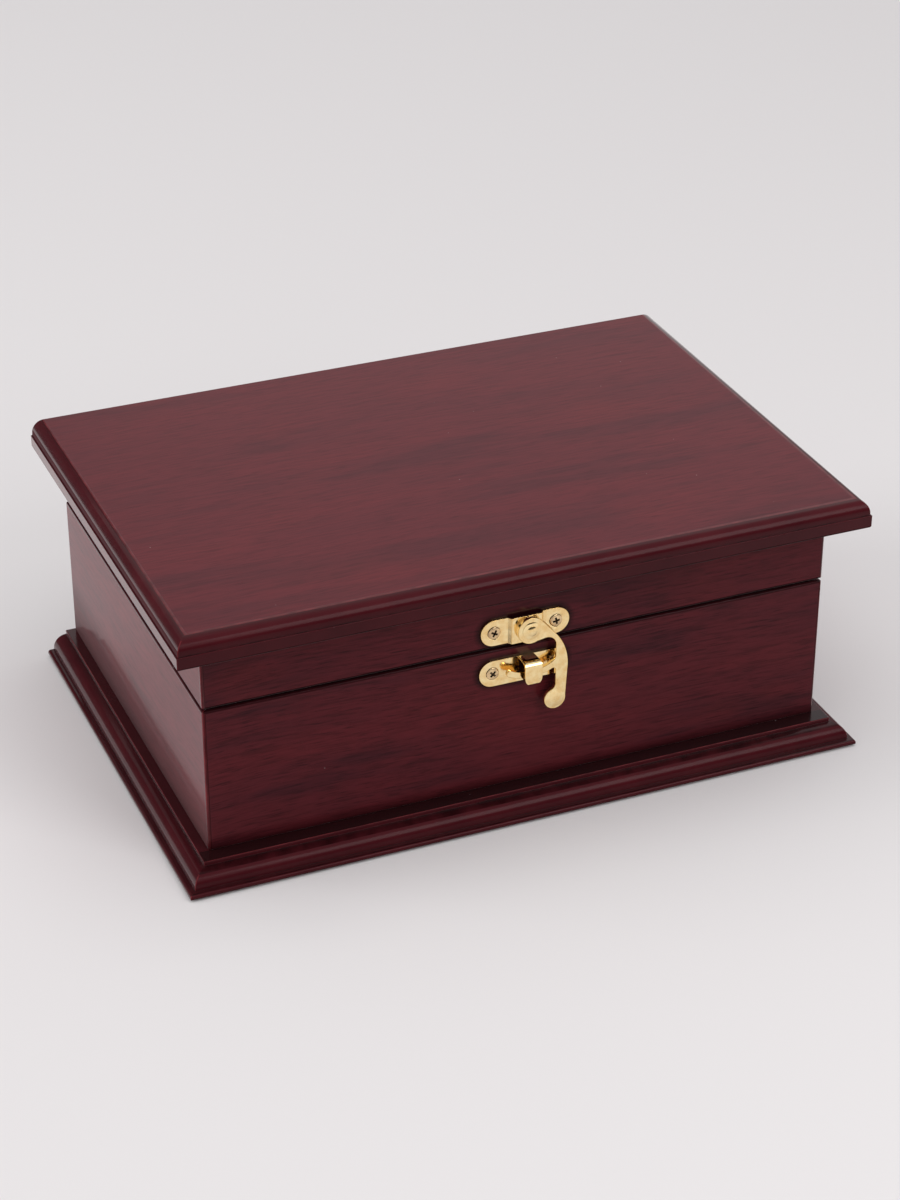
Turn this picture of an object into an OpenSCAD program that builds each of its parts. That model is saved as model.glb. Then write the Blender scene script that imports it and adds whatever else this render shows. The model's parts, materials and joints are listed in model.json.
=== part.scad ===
// Hinged keepsake box with moulded lid and plinth boards and a swing-hook catch.
// Millimetres. +X runs to the right, +Y to the back and +Z up. The origin is on the
// surface that the box stands on, under the middle of the case's plan.
// The case's back and the lid's back are flush; mouldings run along the front and both sides.

/* [Case] */
// Width of the case, outside its walls
case_w = 232; // [180:1:320]
// Depth of the case, outside its walls
case_d = 162; // [120:1:240]
// Height of the case's walls above the plinth board
wall_h = 55; // [45:1:110]
// Thickness of the walls of case and lid
wall_t = 9.5; // [9:0.5:14]
// Radius of the upright corners
corner_r = 1.2; // [0.5:0.1:2]
// Radius of the outer edges that face the seam
seam_r = 0.9; // [0.4:0.1:1.4]
// Gap between case and lid, which the hinges set
seam_gap = 0.8; // [0.5:0.1:1.2]

/* [Plinth board] */
// How far the plinth stands out past each side wall
plinth_side = 11.2; // [10:0.1:18]
// How far the plinth stands out past the front wall
plinth_front = 13.4; // [10:0.1:18]
// Height of the toe at the foot of the moulding
toe_h = 1.8; // [1.4:0.1:3]
// How far the toe stands out past the round of the moulding
toe_out = 2.4; // [1.6:0.1:3]
// Radius of the toe's upper edge
toe_r = 1.1; // [0.5:0.1:1.3]
// Height of the groove between toe and round
quirk_h = 0.5; // [0.3:0.1:1]
// Radius of the moulding's round
plinth_round_r = 5.1; // [4:0.1:6]
// Height of the upright step above the round
step_h = 1.6; // [1:0.1:3]
// Thickness of the felt sheet under the plinth
felt_t = 0.8; // [0.5:0.1:2]
// How far the felt stays in from the plinth's edge
felt_inset = 5; // [3:0.5:12]

/* [Lid] */
// Height of the lid's rim
rim_h = 24; // [20:0.5:40]
// How far the lid board stands out past each side of the rim
lid_side = 11.2; // [8:0.1:18]
// How far the lid board stands out past the front of the rim
lid_front = 12; // [8:0.1:18]
// Thickness of the lid board
lid_t = 10.5; // [9:0.1:16]
// Radius of the lid board's round
lid_round_r = 4.7; // [3:0.1:5.5]
// Width of the ledge outside the round
lid_quirk = 0.55; // [0.3:0.05:0.8]
// Height of the upright between the round and the ledge
lid_fillet = 0.9; // [0.5:0.1:1.5]
// Radius of the lid board's lower edge
lid_low_r = 0.9; // [0.4:0.1:1.4]
// How far the lid opens
lid_open = 95; // [80:1:110]

/* [Linings] */
// Thickness of the felt pads on the floor and under the lid board
pad_t = 1.5; // [1:0.1:3]
// Thickness of the felt on the walls
lining_t = 1.2; // [0.8:0.1:2.5]
// How far the wall felt stops below the top of the walls
lining_drop = 1; // [0.5:0.1:4]

/* [Hinges] */
// Length of each hinge
hinge_l = 30; // [26:1:45]
// Distance from the end of the back wall to the middle of each hinge
hinge_in = 46; // [30:1:70]
// Width of a leaf, from the pin's axis to its front edge
leaf_w = 8; // [7:0.1:8.2]
// Thickness of a leaf
leaf_t = 2.5; // [2.2:0.1:3]
// How far the pin's axis stands behind the back face
pin_out = 0.5; // [0.3:0.1:1]
// Radius of the pin
pin_r = 0.75; // [0.6:0.05:0.9]
// Outer radius of the knuckles
knuckle_r = 1.5; // [1.35:0.05:1.7]
// Length of each of the two outer knuckles
knuckle_l = 9; // [6:0.5:10]
// Spacing of the two screws in a leaf
leaf_screw_gap = 18; // [14:0.5:20]

/* [Catch plates] */
// Height of the catch plates, which is twice the radius of their ends
plate_h = 10; // [9:0.1:11]
// Spacing of the two screws in a plate
plate_screw_gap = 23; // [22:0.5:30]
// Thickness of the plates
plate_t = 0.8; // [0.7:0.05:1]
// Width of the raised middle of the hook plate
hump_w = 11.2; // [10:0.1:13]
// How far the middle of the hook plate is raised
hump_h = 1.4; // [1.2:0.05:2]
// Width of each slope beside the raised middle
hump_slope = 1; // [0.6:0.1:1.4]
// Height of the hook plate's middle above the rim's lower edge
hook_plate_up = 6.4; // [5.6:0.1:8]
// Width of the keeper's loop
loop_w = 6.4; // [5.6:0.1:7.4]
// How far the loop stands out from the wood
loop_out = 7; // [6.6:0.1:8]
// Thickness of the loop's metal
loop_t = 1; // [0.8:0.05:1.2]
// Height of the loop's middle above the middle of the finger
loop_above_finger = 1.3; // [1:0.1:1.6]

/* [Swing hook] */
// Distance of the pivot to the right of the hook plate's middle
pivot_right = 0.9; // [0:0.1:1.2]
// Distance of the keeper's middle to the left of the hook plate's middle
keeper_left = 0.5; // [0:0.1:1]
// Radius of the hook's eye
eye_r = 5; // [4.4:0.1:5.4]
// Thickness of the hook
hook_t = 1.4; // [1:0.1:1.8]
// Radius of the finger's middle line around the pivot
finger_r = 17.3; // [16.5:0.1:19]
// Width of the finger
finger_w = 2.4; // [2:0.1:2.8]
// Angle from straight down to the middle of the finger's round tip
finger_angle = 27; // [22:1:32]
// How far the arm bows out to the right of the pivot
arm_reach = 13.9; // [13:0.1:16]
// Width of the arm at its bow
arm_w = 4.6; // [4:0.1:5.2]
// Radius of the arm's outer bow
bow_r = 20.2; // [18:0.1:24]
// Radius of the round tail
tail_r = 4; // [3.4:0.1:4.6]
// Distance of the tail's middle to the right of the pivot
tail_x = 9.2; // [8.6:0.1:9.6]
// Distance of the tail's middle below the pivot
tail_down = 29.1; // [28.5:0.1:32]

/* [Rivet and screws] */
// Radius of the rivet's shaft
rivet_r = 1.6; // [1.2:0.05:2]
// Radius of the rivet's head
rivet_head_r = 3.4; // [2.6:0.1:3.6]
// Height of the rivet's domed head
rivet_head_h = 0.5; // [0.4:0.05:0.9]
// Thickness of the washer between plate and hook
washer_t = 0.5; // [0.4:0.05:0.8]
// Radius of the catch screws' heads
catch_head_r = 2.3; // [2.1:0.05:2.5]
// Radius of the recess around each catch screw's head
recess_r = 2.9; // [2.7:0.05:3.2]
// Radius of the hinge screws' heads
hinge_head_r = 2.1; // [1.9:0.05:2.4]
// Radius of the screws' shanks
shank_r = 1.05; // [0.9:0.05:1.2]
// Length of the screws in the wood
screw_l = 7.5; // [6:0.5:8]

/* [Hidden] */
// Clearances
run_gap = 0.05;      // radius of a running bore over its shaft
pilot_gap = 0.03;    // radius of a pilot hole over its screw
face_gap = 0.05;     // between flat faces that slide on each other
sweep_gap = 0.2;     // between a knuckle and the leaf that turns past it
fit_gap = 0.02;      // between a recess and what is let into it
eps = 0.01;
hair = 0.03;         // how far rounds that meet smoothly run into each other
past = 1;            // how far a cut runs past the face it opens
big = 400;           // longer than the whole box
$fn = 96;

// Levels
plinth_t = toe_h + quirk_h + plinth_round_r + step_h;
plinth_z = felt_t;
wall_z = plinth_z + plinth_t;
wall_top = wall_z + wall_h;
rim_z = wall_top + seam_gap;
lid_z = rim_z + rim_h;
pin_z = wall_top + seam_gap / 2;
pin_y = case_d / 2 + pin_out;
front_y = -case_d / 2;
inner_w = case_w - 2 * wall_t;
inner_d = case_d - 2 * wall_t;

// Plinth and hinges
toe_low_r = 0.4;     // lower edge of the toe
hinge_x = case_w / 2 - hinge_in;
leaf_screw_in = leaf_w / 2 + 0.5;

// Screws
tip_r = 0.1;         // blunt end of a screw's point
pilot_deep = 0.3;    // how far a pilot hole runs past its screw
throat_gap = 0.2;    // radius of a catch screw's countersink foot over its shank
recess_depth = 0.7;  // depth of the cross recess

// Catch
plate_r = plate_h / 2;
hook_plate_z = rim_z + hook_plate_up;
pivot_z = hook_plate_z;
keeper_z = pivot_z - finger_r + loop_above_finger;
loop_x = pivot_right;
keeper_x = -keeper_left;
hump_face = plate_t + hump_h;
washer_face = hump_face + washer_t;
hook_back = washer_face + face_gap;
hook_face = hook_back + hook_t;
rivet_tail_r = 2.4;
rivet_tail_up = 0.8; // space between the rivet's tail and the wood
loop_up = 0.7;       // underside of the loop above the plate's lower edge
loop_top_r = 3;      // bend at the loop's top, seen from the side
loop_low_r = 1.6;    // bend at its underside
loop_shoulder_r = 1.4; // upper corners of its face
loop_end_r = 2.9;    // lower corners, nearly a half round
loop_crown_r = 14;   // slight bulge of its face across the width
head_sit = 0.25;     // where a catch screw's head starts, out from the wood
head_rim = 0.1;      // straight edge of a catch screw's head
head_dome = 0.3;     // rise of a catch screw's domed top
slot_w = 0.6;        // width of one bar of the cross recess
slot_span = 0.6;     // length of a bar as a share of the head's diameter

// Hook outline, around the pivot
finger_in = finger_r - finger_w / 2;
finger_out = finger_r + finger_w / 2;
arm_in = arm_reach - arm_w;
gap_top_r = 3.5;     // round at the top of the gap between eye and finger
gap_low_r = 3;       // round at the foot of that gap
arm_under = 3.95;    // underside of the arm, below the pivot
neck_r = 2.4;        // hollow where the arm meets the tail
crook_r = 1;         // hollow where the finger meets the arm
bow_c = [arm_reach - bow_r, -16];
tail_c = [tail_x, -tail_down];
gap_top_c = [arm_in - gap_top_r, -arm_under - gap_top_r];
gap_low_x = arm_in - gap_low_r;
gap_low_c = [gap_low_x, -sqrt(pow(finger_in - gap_low_r, 2) - pow(gap_low_x, 2))];
crook_x = arm_in - crook_r;
crook_c = [crook_x, -sqrt(pow(finger_out + crook_r, 2) - pow(crook_x, 2))];
neck_x = arm_in - neck_r;
neck_c = [neck_x, tail_c.y + sqrt(pow(tail_r + neck_r, 2) - pow(tail_x - neck_x, 2))];
shoulder_a = atan2(-bow_c.y, -bow_c.x) - acos((bow_r - eye_r) / norm(bow_c));
tip_a = -90 - finger_angle;

// Point on a circle of radius r around the origin, at angle a.
function on_circle(r, a) = r * [cos(a), sin(a)];

// Direction from point p to point q, in degrees.
function heading(p, q) = atan2(q.y - p.y, q.x - p.x);

// ---- Helpers -----------------------------------------------------------------

// Extrudes a drawing of the XZ plane from y0 to y1.
module along_y(y0, y1) {
    translate([0, y1, 0]) rotate([90, 0, 0]) linear_extrude(height = y1 - y0) children();
}

// Extrudes a drawing of the YZ plane from x0 to x1.
module along_x(x0, x1) {
    translate([x0, 0, 0]) rotate([90, 0, 90]) linear_extrude(height = x1 - x0) children();
}

// Extrudes an XZ drawing outwards from the front face, from out0 to out1.
module on_front(out0, out1) {
    along_y(front_y - out1, front_y - out0) children();
}

// A rectangle from p to q whose four corners have their own radii:
// lower left, lower right, upper right, upper left.
module rounded_rect(p, q, r) {
    corners = [p, [q.x, p.y], q, [p.x, q.y]];
    inward = [[1, 1], [-1, 1], [-1, -1], [1, -1]];
    difference() {
        translate(p) square(q - p);
        for (i = [0:3]) if (r[i] > 0) difference() {
            translate(corners[i] - inward[i] * eps)
                into_quadrant(inward[i]) square(r[i] + eps);
            translate(corners[i] + inward[i] * r[i]) circle(r[i]);
        }
    }
}

// Mirrors its children into the quadrant that s points at.
module into_quadrant(s) {
    mirror([s.x < 0 ? 1 : 0, 0]) mirror([0, s.y < 0 ? 1 : 0]) children();
}

// Outer form of case or rim: upright corners and one horizontal edge rounded.
module shell_form(z0, z1, low_r, top_r) {
    w = case_w / 2;
    d = case_d / 2;
    r = [low_r, low_r, top_r, top_r];
    intersection() {
        translate([0, 0, z0]) linear_extrude(height = z1 - z0)
            rounded_rect([-w, -d], [w, d], [corner_r, corner_r, corner_r, corner_r]);
        along_y(-big, big) rounded_rect([-w, z0], [w, z1], r);
        along_x(-big, big) rounded_rect([-d, z0], [d, z1], r);
    }
}

// Plan of one wall with mitred ends: side 0 front, 1 right, 2 back, 3 left.
module wall_plan(side) {
    w = case_w / 2;
    d = case_d / 2;
    corners = [[-w, -d], [w, -d], [w, d], [-w, d]];
    turn = [[1, 1], [-1, 1], [-1, -1], [1, -1]];
    a = side;
    b = (side + 1) % 4;
    polygon([corners[a], corners[b], corners[b] + wall_t * turn[b], corners[a] + wall_t * turn[a]]);
}

// One wall of the case or rim, cut from the outer form.
module wall(side, z0, z1, low_r, top_r) {
    intersection() {
        shell_form(z0, z1, low_r, top_r);
        translate([0, 0, z0]) linear_extrude(height = z1 - z0) wall_plan(side);
    }
}

// ---- Screws ------------------------------------------------------------------

// Pointed shank along -Z from z = 0.
module shank(r, l) {
    point = 2 * r;
    translate([0, 0, -(l - point)]) cylinder(r = r, h = l - point + eps);
    translate([0, 0, -l]) cylinder(r1 = tip_r, r2 = r, h = point);
}

// Cross recess cut down from z = 0.
module cross_recess(head_r) {
    span = 2 * head_r * slot_span;
    for (a = [0, 90]) rotate([0, 0, a])
        translate([-span / 2, -slot_w / 2, -recess_depth]) cube([span, slot_w, recess_depth + past]);
}

// Oval-head screw whose seat is at z = head_sit, with its shank along -Z.
module catch_screw() {
    throat_r = shank_r + throat_gap;
    top = plate_t + head_rim;
    dome_r = (pow(catch_head_r, 2) + pow(head_dome, 2)) / (2 * head_dome);
    difference() {
        union() {
            translate([0, 0, head_sit]) shank(shank_r, screw_l + head_sit);
            translate([0, 0, head_sit]) cylinder(r1 = throat_r, r2 = catch_head_r, h = plate_t - head_sit);
            translate([0, 0, plate_t]) cylinder(r = catch_head_r, h = head_rim);
            intersection() {
                translate([0, 0, top + head_dome - dome_r]) sphere(dome_r);
                translate([0, 0, top - eps]) cylinder(r = catch_head_r, h = 2 * head_dome);
            }
        }
        translate([0, 0, top + head_dome]) cross_recess(catch_head_r);
    }
}

// Flat-head screw whose top is at z = 0, with its shank along -Z.
module leaf_screw() {
    head_h = hinge_head_r - shank_r;
    difference() {
        union() {
            translate([0, 0, -head_h]) shank(shank_r, screw_l);
            translate([0, 0, -head_h]) cylinder(r1 = shank_r, r2 = hinge_head_r, h = head_h);
        }
        cross_recess(hinge_head_r);
    }
}

// Pilot hole for a screw, along -Z from z = 0.
module pilot(l) {
    translate([0, 0, -l - pilot_deep]) cylinder(r = shank_r + pilot_gap, h = l + pilot_deep + past);
}

// Places children at both screws of a catch plate, with +Z pointing out of the front.
module at_plate_screws(x, z) {
    for (s = [-1, 1]) translate([x + s * plate_screw_gap / 2, front_y, z]) rotate([90, 0, 0]) children();
}

// Places children at the screws of both hinges' leaves: up = 1 lower leaves, up = -1 upper.
module at_leaf_screws(up) {
    y = pin_y - leaf_screw_in;
    z = pin_z - up * (face_gap + fit_gap);
    for (h = [-1, 1]) for (s = [-1, 1])
        translate([h * hinge_x + s * leaf_screw_gap / 2, y, z])
            rotate([up > 0 ? 0 : 180, 0, 0]) children();
}

// ---- Plinth and case ---------------------------------------------------------

// Section of the plinth's moulding, with its outer foot at the origin and the board to the left.
module plinth_section(run) {
    round_x = -toe_out - plinth_round_r;
    round_z = toe_h + quirk_h;
    union() {
        rounded_rect([-run, 0], [0, toe_h], [0, toe_low_r, toe_r, 0]);
        translate([-run, 0]) square([run - toe_out, round_z]);
        intersection() {
            translate([round_x, round_z]) circle(plinth_round_r);
            translate([round_x, round_z - eps]) square(plinth_round_r + past);
        }
        translate([-run, 0]) square([run + round_x, plinth_t]);
    }
}

// Moulded on the front and both sides, cut square and flush at the back.
module plinth_board() {
    half = case_w / 2 + plinth_side;
    front = front_y - plinth_front;
    color([0.30, 0.09, 0.10]) translate([0, 0, plinth_z]) intersection() {
        along_y(front, case_d / 2) union() {
            translate([half, 0]) plinth_section(half);
            mirror([1, 0]) translate([half, 0]) plinth_section(half);
        }
        along_x(-half, half) translate([front, 0]) mirror([1, 0])
            plinth_section(case_d / 2 - front);
    }
}

module base_felt() {
    half = case_w / 2 + plinth_side - felt_inset;
    front = front_y - plinth_front + felt_inset;
    color([0.07, 0.07, 0.08]) translate([-half, front, 0])
        cube([2 * half, case_d / 2 - felt_inset - front, felt_t]);
}

module case_wall(side) {
    wall(side, wall_z, wall_top, 0, seam_r);
}

module case_front() {
    color([0.29, 0.09, 0.10]) difference() {
        case_wall(0);
        at_plate_screws(keeper_x, keeper_z) pilot(screw_l);
    }
}

module case_back() {
    color([0.29, 0.09, 0.10]) difference() {
        case_wall(2);
        leaf_pockets(1);
        at_leaf_screws(1) pilot(screw_l + hinge_head_r - shank_r);
    }
}

module case_left() {
    color([0.31, 0.11, 0.12]) case_wall(3);
}

module case_right() {
    color([0.31, 0.11, 0.12]) case_wall(1);
}

// ---- Linings -----------------------------------------------------------------

module floor_lining() {
    color([0.10, 0.10, 0.11]) translate([-inner_w / 2, -inner_d / 2, wall_z])
        cube([inner_w, inner_d, pad_t]);
}

// One wall felt, standing on the floor felt. The long ones run past the short ones' ends.
module wall_lining(x, y, w, d) {
    z = wall_z + pad_t;
    color([0.10, 0.10, 0.11]) translate([x, y, z]) cube([w, d, wall_top - lining_drop - z]);
}

module lining_front() {
    wall_lining(-inner_w / 2, -inner_d / 2, inner_w, lining_t);
}

module lining_back() {
    wall_lining(-inner_w / 2, inner_d / 2 - lining_t, inner_w, lining_t);
}

module lining_left() {
    wall_lining(-inner_w / 2, -inner_d / 2 + lining_t, lining_t, inner_d - 2 * lining_t);
}

module lining_right() {
    wall_lining(inner_w / 2 - lining_t, -inner_d / 2 + lining_t, lining_t, inner_d - 2 * lining_t);
}

module lid_lining() {
    color([0.10, 0.10, 0.11]) translate([-inner_w / 2, -inner_d / 2, lid_z - pad_t])
        cube([inner_w, inner_d, pad_t]);
}

// ---- Lid ---------------------------------------------------------------------

// Section of the lid board's edge, with its outer lower corner at the origin.
module lid_section(run) {
    round_x = -lid_quirk - lid_round_r;
    round_z = lid_t - lid_round_r;
    union() {
        rounded_rect([-run, 0], [0, round_z - lid_fillet], [0, lid_low_r, 0, 0]);
        translate([-run, lid_low_r]) square([run - lid_quirk, round_z - lid_low_r]);
        intersection() {
            translate([round_x, round_z]) circle(lid_round_r);
            translate([round_x, round_z - eps]) square(lid_round_r + past);
        }
        translate([-run, 0]) square([run + round_x, lid_t]);
    }
}

// Moulded on the front and both sides, cut square and flush at the back.
module lid_board() {
    half = case_w / 2 + lid_side;
    front = front_y - lid_front;
    color([0.33, 0.12, 0.12]) translate([0, 0, lid_z]) intersection() {
        along_y(front, case_d / 2) union() {
            translate([half, 0]) lid_section(half);
            mirror([1, 0]) translate([half, 0]) lid_section(half);
        }
        along_x(-half, half) translate([front, 0]) mirror([1, 0])
            lid_section(case_d / 2 - front);
    }
}

module rim_wall(side) {
    wall(side, rim_z, lid_z, seam_r, 0);
}

module rim_front() {
    color([0.29, 0.09, 0.10]) difference() {
        rim_wall(0);
        at_plate_screws(0, hook_plate_z) pilot(screw_l);
    }
}

module rim_back() {
    color([0.29, 0.09, 0.10]) difference() {
        rim_wall(2);
        leaf_pockets(-1);
        at_leaf_screws(-1) pilot(screw_l + hinge_head_r - shank_r);
    }
}

module rim_left() {
    color([0.31, 0.11, 0.12]) rim_wall(3);
}

module rim_right() {
    color([0.31, 0.11, 0.12]) rim_wall(1);
}

// ---- Hinges ------------------------------------------------------------------

// Pockets for both leaves in the back wall (up = 1) or in the rim's back (up = -1).
module leaf_pockets(up) {
    l = hinge_l + 2 * fit_gap;
    depth = leaf_t + face_gap + fit_gap;
    for (h = [-1, 1])
        translate([h * hinge_x - l / 2, pin_y - leaf_w - fit_gap, pin_z - (up > 0 ? depth : 0)])
            cube([l, leaf_w + past, depth]);
}

// Section of a lower leaf in Y and Z around the pin's axis. Its back end slopes
// down from the pin, and the upper leaf's slope comes to rest on it when the lid is open.
module leaf_section() {
    slope = (lid_open + 0.5) / 2;
    reach = (leaf_t + face_gap) / tan(slope);
    intersection() {
        polygon([[-leaf_w, -face_gap - leaf_t], [reach, -face_gap - leaf_t], [0, 0], [-leaf_w, 0]]);
        translate([-leaf_w, -face_gap - leaf_t]) square([leaf_w + reach, leaf_t]);
    }
}

// A lower leaf around the pin's axis, lying along X. outer = true has the two outer knuckles.
module leaf(outer) {
    half = hinge_l / 2;
    joint = half - knuckle_l;
    inner = joint - sweep_gap;
    mine = outer ? [[-half, -joint], [joint, half]] : [[-inner, inner]];
    theirs = outer ? [[-joint, joint]] : [[-half - past, -inner], [inner, half + past]];
    difference() {
        union() {
            difference() {
                along_x(-half, half) leaf_section();
                for (k = theirs) along_x(k[0], k[1]) circle(knuckle_r + sweep_gap);
            }
            for (k = mine) along_x(k[0], k[1]) circle(knuckle_r);
        }
        along_x(-half - past, half + past) circle(pin_r + run_gap);
        for (s = [-1, 1]) translate([s * leaf_screw_gap / 2, -leaf_screw_in, -face_gap]) leaf_hole();
    }
}

// Countersunk hole for a hinge screw, down from z = 0.
module leaf_hole() {
    head_h = hinge_head_r - shank_r;
    r = hinge_head_r + fit_gap;
    translate([0, 0, -leaf_t - past]) cylinder(r = shank_r + pilot_gap, h = leaf_t + past);
    translate([0, 0, -head_h - fit_gap]) cylinder(r1 = shank_r + pilot_gap, r2 = r, h = head_h);
    translate([0, 0, -fit_gap - eps]) cylinder(r = r, h = past);
}

// A hinge leaf in its place: side -1 left or 1 right.
module lower_leaf(side) {
    color([0.80, 0.62, 0.28]) translate([side * hinge_x, pin_y, pin_z]) leaf(true);
}

module upper_leaf(side) {
    color([0.80, 0.62, 0.28]) translate([side * hinge_x, pin_y, pin_z]) mirror([0, 0, 1]) leaf(false);
}

module hinge_pin(side) {
    color([0.72, 0.56, 0.25]) translate([side * hinge_x, pin_y, pin_z])
        along_x(-hinge_l / 2, hinge_l / 2) circle(pin_r);
}

module hinge_left_lower() {
    lower_leaf(-1);
}

module hinge_right_lower() {
    lower_leaf(1);
}

module hinge_left_upper() {
    upper_leaf(-1);
}

module hinge_right_upper() {
    upper_leaf(1);
}

module hinge_pin_left() {
    hinge_pin(-1);
}

module hinge_pin_right() {
    hinge_pin(1);
}

module hinge_screws_lower() {
    color([0.76, 0.62, 0.34]) at_leaf_screws(1) leaf_screw();
}

module hinge_screws_upper() {
    color([0.76, 0.62, 0.34]) at_leaf_screws(-1) leaf_screw();
}

// ---- Catch -------------------------------------------------------------------

// Outline of a catch plate: a bar with round ends, around the origin.
module plate_outline() {
    for (s = [-1, 1]) translate([s * plate_screw_gap / 2, 0]) circle(plate_r);
    translate([-plate_screw_gap / 2, -plate_r]) square([plate_screw_gap, plate_h]);
}

// Hole in a plate's ear, with a dished recess around the screw's head.
module ear_hole() {
    throat_r = shank_r + throat_gap + fit_gap;
    translate([0, 0, -past]) cylinder(r = throat_r, h = plate_t + past);
    translate([0, 0, head_sit - fit_gap])
        cylinder(r1 = throat_r, r2 = recess_r, h = plate_t - head_sit + fit_gap);
    translate([0, 0, plate_t - eps]) cylinder(r = recess_r, h = past);
}

// Plan of the pressed strip: X along the plate, Y out of the wood.
module pressed_strip() {
    half = plate_screw_gap / 2 + plate_r;
    flat = hump_w / 2;
    foot = flat + hump_slope;
    outer = [[half, plate_t], [foot, plate_t], [flat, hump_face], [-flat, hump_face],
             [-foot, plate_t], [-half, plate_t]];
    inner = [[-half, 0], [-foot, 0], [-flat, hump_h], [flat, hump_h], [foot, 0], [half, 0]];
    polygon(concat(outer, inner));
}

module hook_plate() {
    color([0.86, 0.70, 0.36]) difference() {
        intersection() {
            translate([0, 0, hook_plate_z]) on_front(0, hump_face + past) plate_outline();
            translate([0, front_y, hook_plate_z - plate_r]) linear_extrude(height = plate_h)
                mirror([0, 1]) pressed_strip();
        }
        at_plate_screws(0, hook_plate_z) ear_hole();
        translate([pivot_right, 0, pivot_z]) on_front(-past, hump_face + past) circle(rivet_r + fit_gap);
    }
}

module hook_washer() {
    color([0.80, 0.64, 0.31]) translate([pivot_right, 0, pivot_z]) on_front(hump_face, washer_face) difference() {
        circle(eye_r);
        circle(rivet_r + run_gap);
    }
}

// Shaft through plate, washer and hook, with a domed head outside and a flat tail inside.
module hook_rivet() {
    seat = hook_face + face_gap;
    dome_r = (pow(rivet_head_r, 2) + pow(rivet_head_h, 2)) / (2 * rivet_head_h);
    color([0.88, 0.72, 0.38]) translate([pivot_right, front_y, pivot_z]) rotate([90, 0, 0]) union() {
        translate([0, 0, rivet_tail_up]) cylinder(r = rivet_r, h = seat - rivet_tail_up);
        translate([0, 0, rivet_tail_up]) cylinder(r = rivet_tail_r, h = hump_h - rivet_tail_up);
        intersection() {
            translate([0, 0, seat + rivet_head_h - dome_r]) sphere(dome_r);
            translate([0, 0, seat]) cylinder(r = rivet_head_r, h = 2 * rivet_head_h);
        }
    }
}

// Outline of the hook around its pivot. The arm's polygon runs through the middles of
// the hollow rounds, which are then cut out as whole circles. Rounds that meet without
// a corner run a hair into each other, so that they cross cleanly.
module hook_outline() {
    difference() {
        union() {
            circle(eye_r);
            translate(tail_c) circle(tail_r);
            hook_arm();
            hook_finger();
        }
        translate(gap_top_c) circle(gap_top_r + hair);
        translate(gap_low_c) circle(gap_low_r + hair);
        translate(crook_c) circle(crook_r + hair);
        translate(neck_c) circle(neck_r + hair);
    }
}

// Arm from the eye down to the tail, with its outer side bowed. Its points run
// anticlockwise: up the outer side from the tail, then down the inner side.
module hook_arm() {
    bow_low = bow_c + on_circle(bow_r - hair, -5);
    bow_top = bow_c + on_circle(bow_r - hair, shoulder_a);
    bow_mid = (bow_top + bow_low) / 2 - [arm_w / 3, 0];
    bow_side = arm_reach + past;
    polygon([
        tail_c + on_circle(tail_r - hair, 8), bow_low, bow_top, on_circle(eye_r - hair, shoulder_a),
        [0, 0], on_circle(eye_r - hair, -97), gap_top_c + on_circle(gap_top_r, 100), gap_top_c,
        [arm_in, gap_top_c.y], [arm_in, gap_low_c.y], gap_low_c,
        on_circle(finger_r, heading([0, 0], gap_low_c)),
        on_circle(finger_r, heading([0, 0], crook_c)),
        crook_c, [arm_in, crook_c.y], [arm_in, neck_c.y], neck_c, tail_c
    ]);
    intersection() {
        translate(bow_c) circle(bow_r);
        polygon([bow_top, bow_mid, bow_low, [bow_side, bow_low.y], [bow_side, bow_top.y]]);
    }
}

// Finger curved around the pivot, with a round tip.
module hook_finger() {
    start_a = heading([0, 0], gap_low_c) + 3;
    translate(on_circle(finger_r, tip_a)) circle(finger_w / 2 + hair);
    intersection() {
        difference() {
            circle(finger_out);
            circle(finger_in);
        }
        polygon([[0, 0], on_circle(2 * finger_out, tip_a), on_circle(2 * finger_out, start_a)]);
    }
}

module swing_hook() {
    color([0.88, 0.73, 0.40]) translate([pivot_right, 0, pivot_z]) difference() {
        on_front(hook_back, hook_face) hook_outline();
        on_front(hook_back - past, hook_face + past) circle(rivet_r + run_gap);
    }
}

// Plate with a pressed-out loop that the hook's finger slides through along X.
module keeper_plate() {
    z0 = keeper_z - plate_r + loop_up;
    z1 = keeper_z + plate_r;
    half = loop_w / 2;
    color([0.86, 0.70, 0.36]) difference() {
        union() {
            translate([keeper_x, 0, keeper_z]) on_front(0, plate_t) plate_outline();
            intersection() {
                along_x(loop_x - half, loop_x + half) translate([front_y, 0])
                    rounded_rect([-loop_out, z0], [0, z1], [loop_low_r, 0, 0, loop_top_r]);
                on_front(-past, loop_out + past)
                    rounded_rect([loop_x - half, z0], [loop_x + half, z1],
                                 [loop_end_r, loop_end_r, loop_shoulder_r, loop_shoulder_r]);
                translate([loop_x, front_y - loop_out + loop_crown_r, z0])
                    cylinder(r = loop_crown_r, h = plate_h);
            }
        }
        along_x(loop_x - half - eps, loop_x + half + eps) translate([front_y, 0])
            rounded_rect([-loop_out + loop_t, z0 + loop_t], [past, z1 - loop_t],
                         [loop_low_r - loop_t, 0, 0, loop_top_r - loop_t]);
        at_plate_screws(keeper_x, keeper_z) ear_hole();
    }
}

module hook_plate_screws() {
    color([0.80, 0.68, 0.46]) at_plate_screws(0, hook_plate_z) catch_screw();
}

module keeper_screws() {
    color([0.80, 0.68, 0.46]) at_plate_screws(keeper_x, keeper_z) catch_screw();
}

// ---- Nodes -------------------------------------------------------------------

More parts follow.
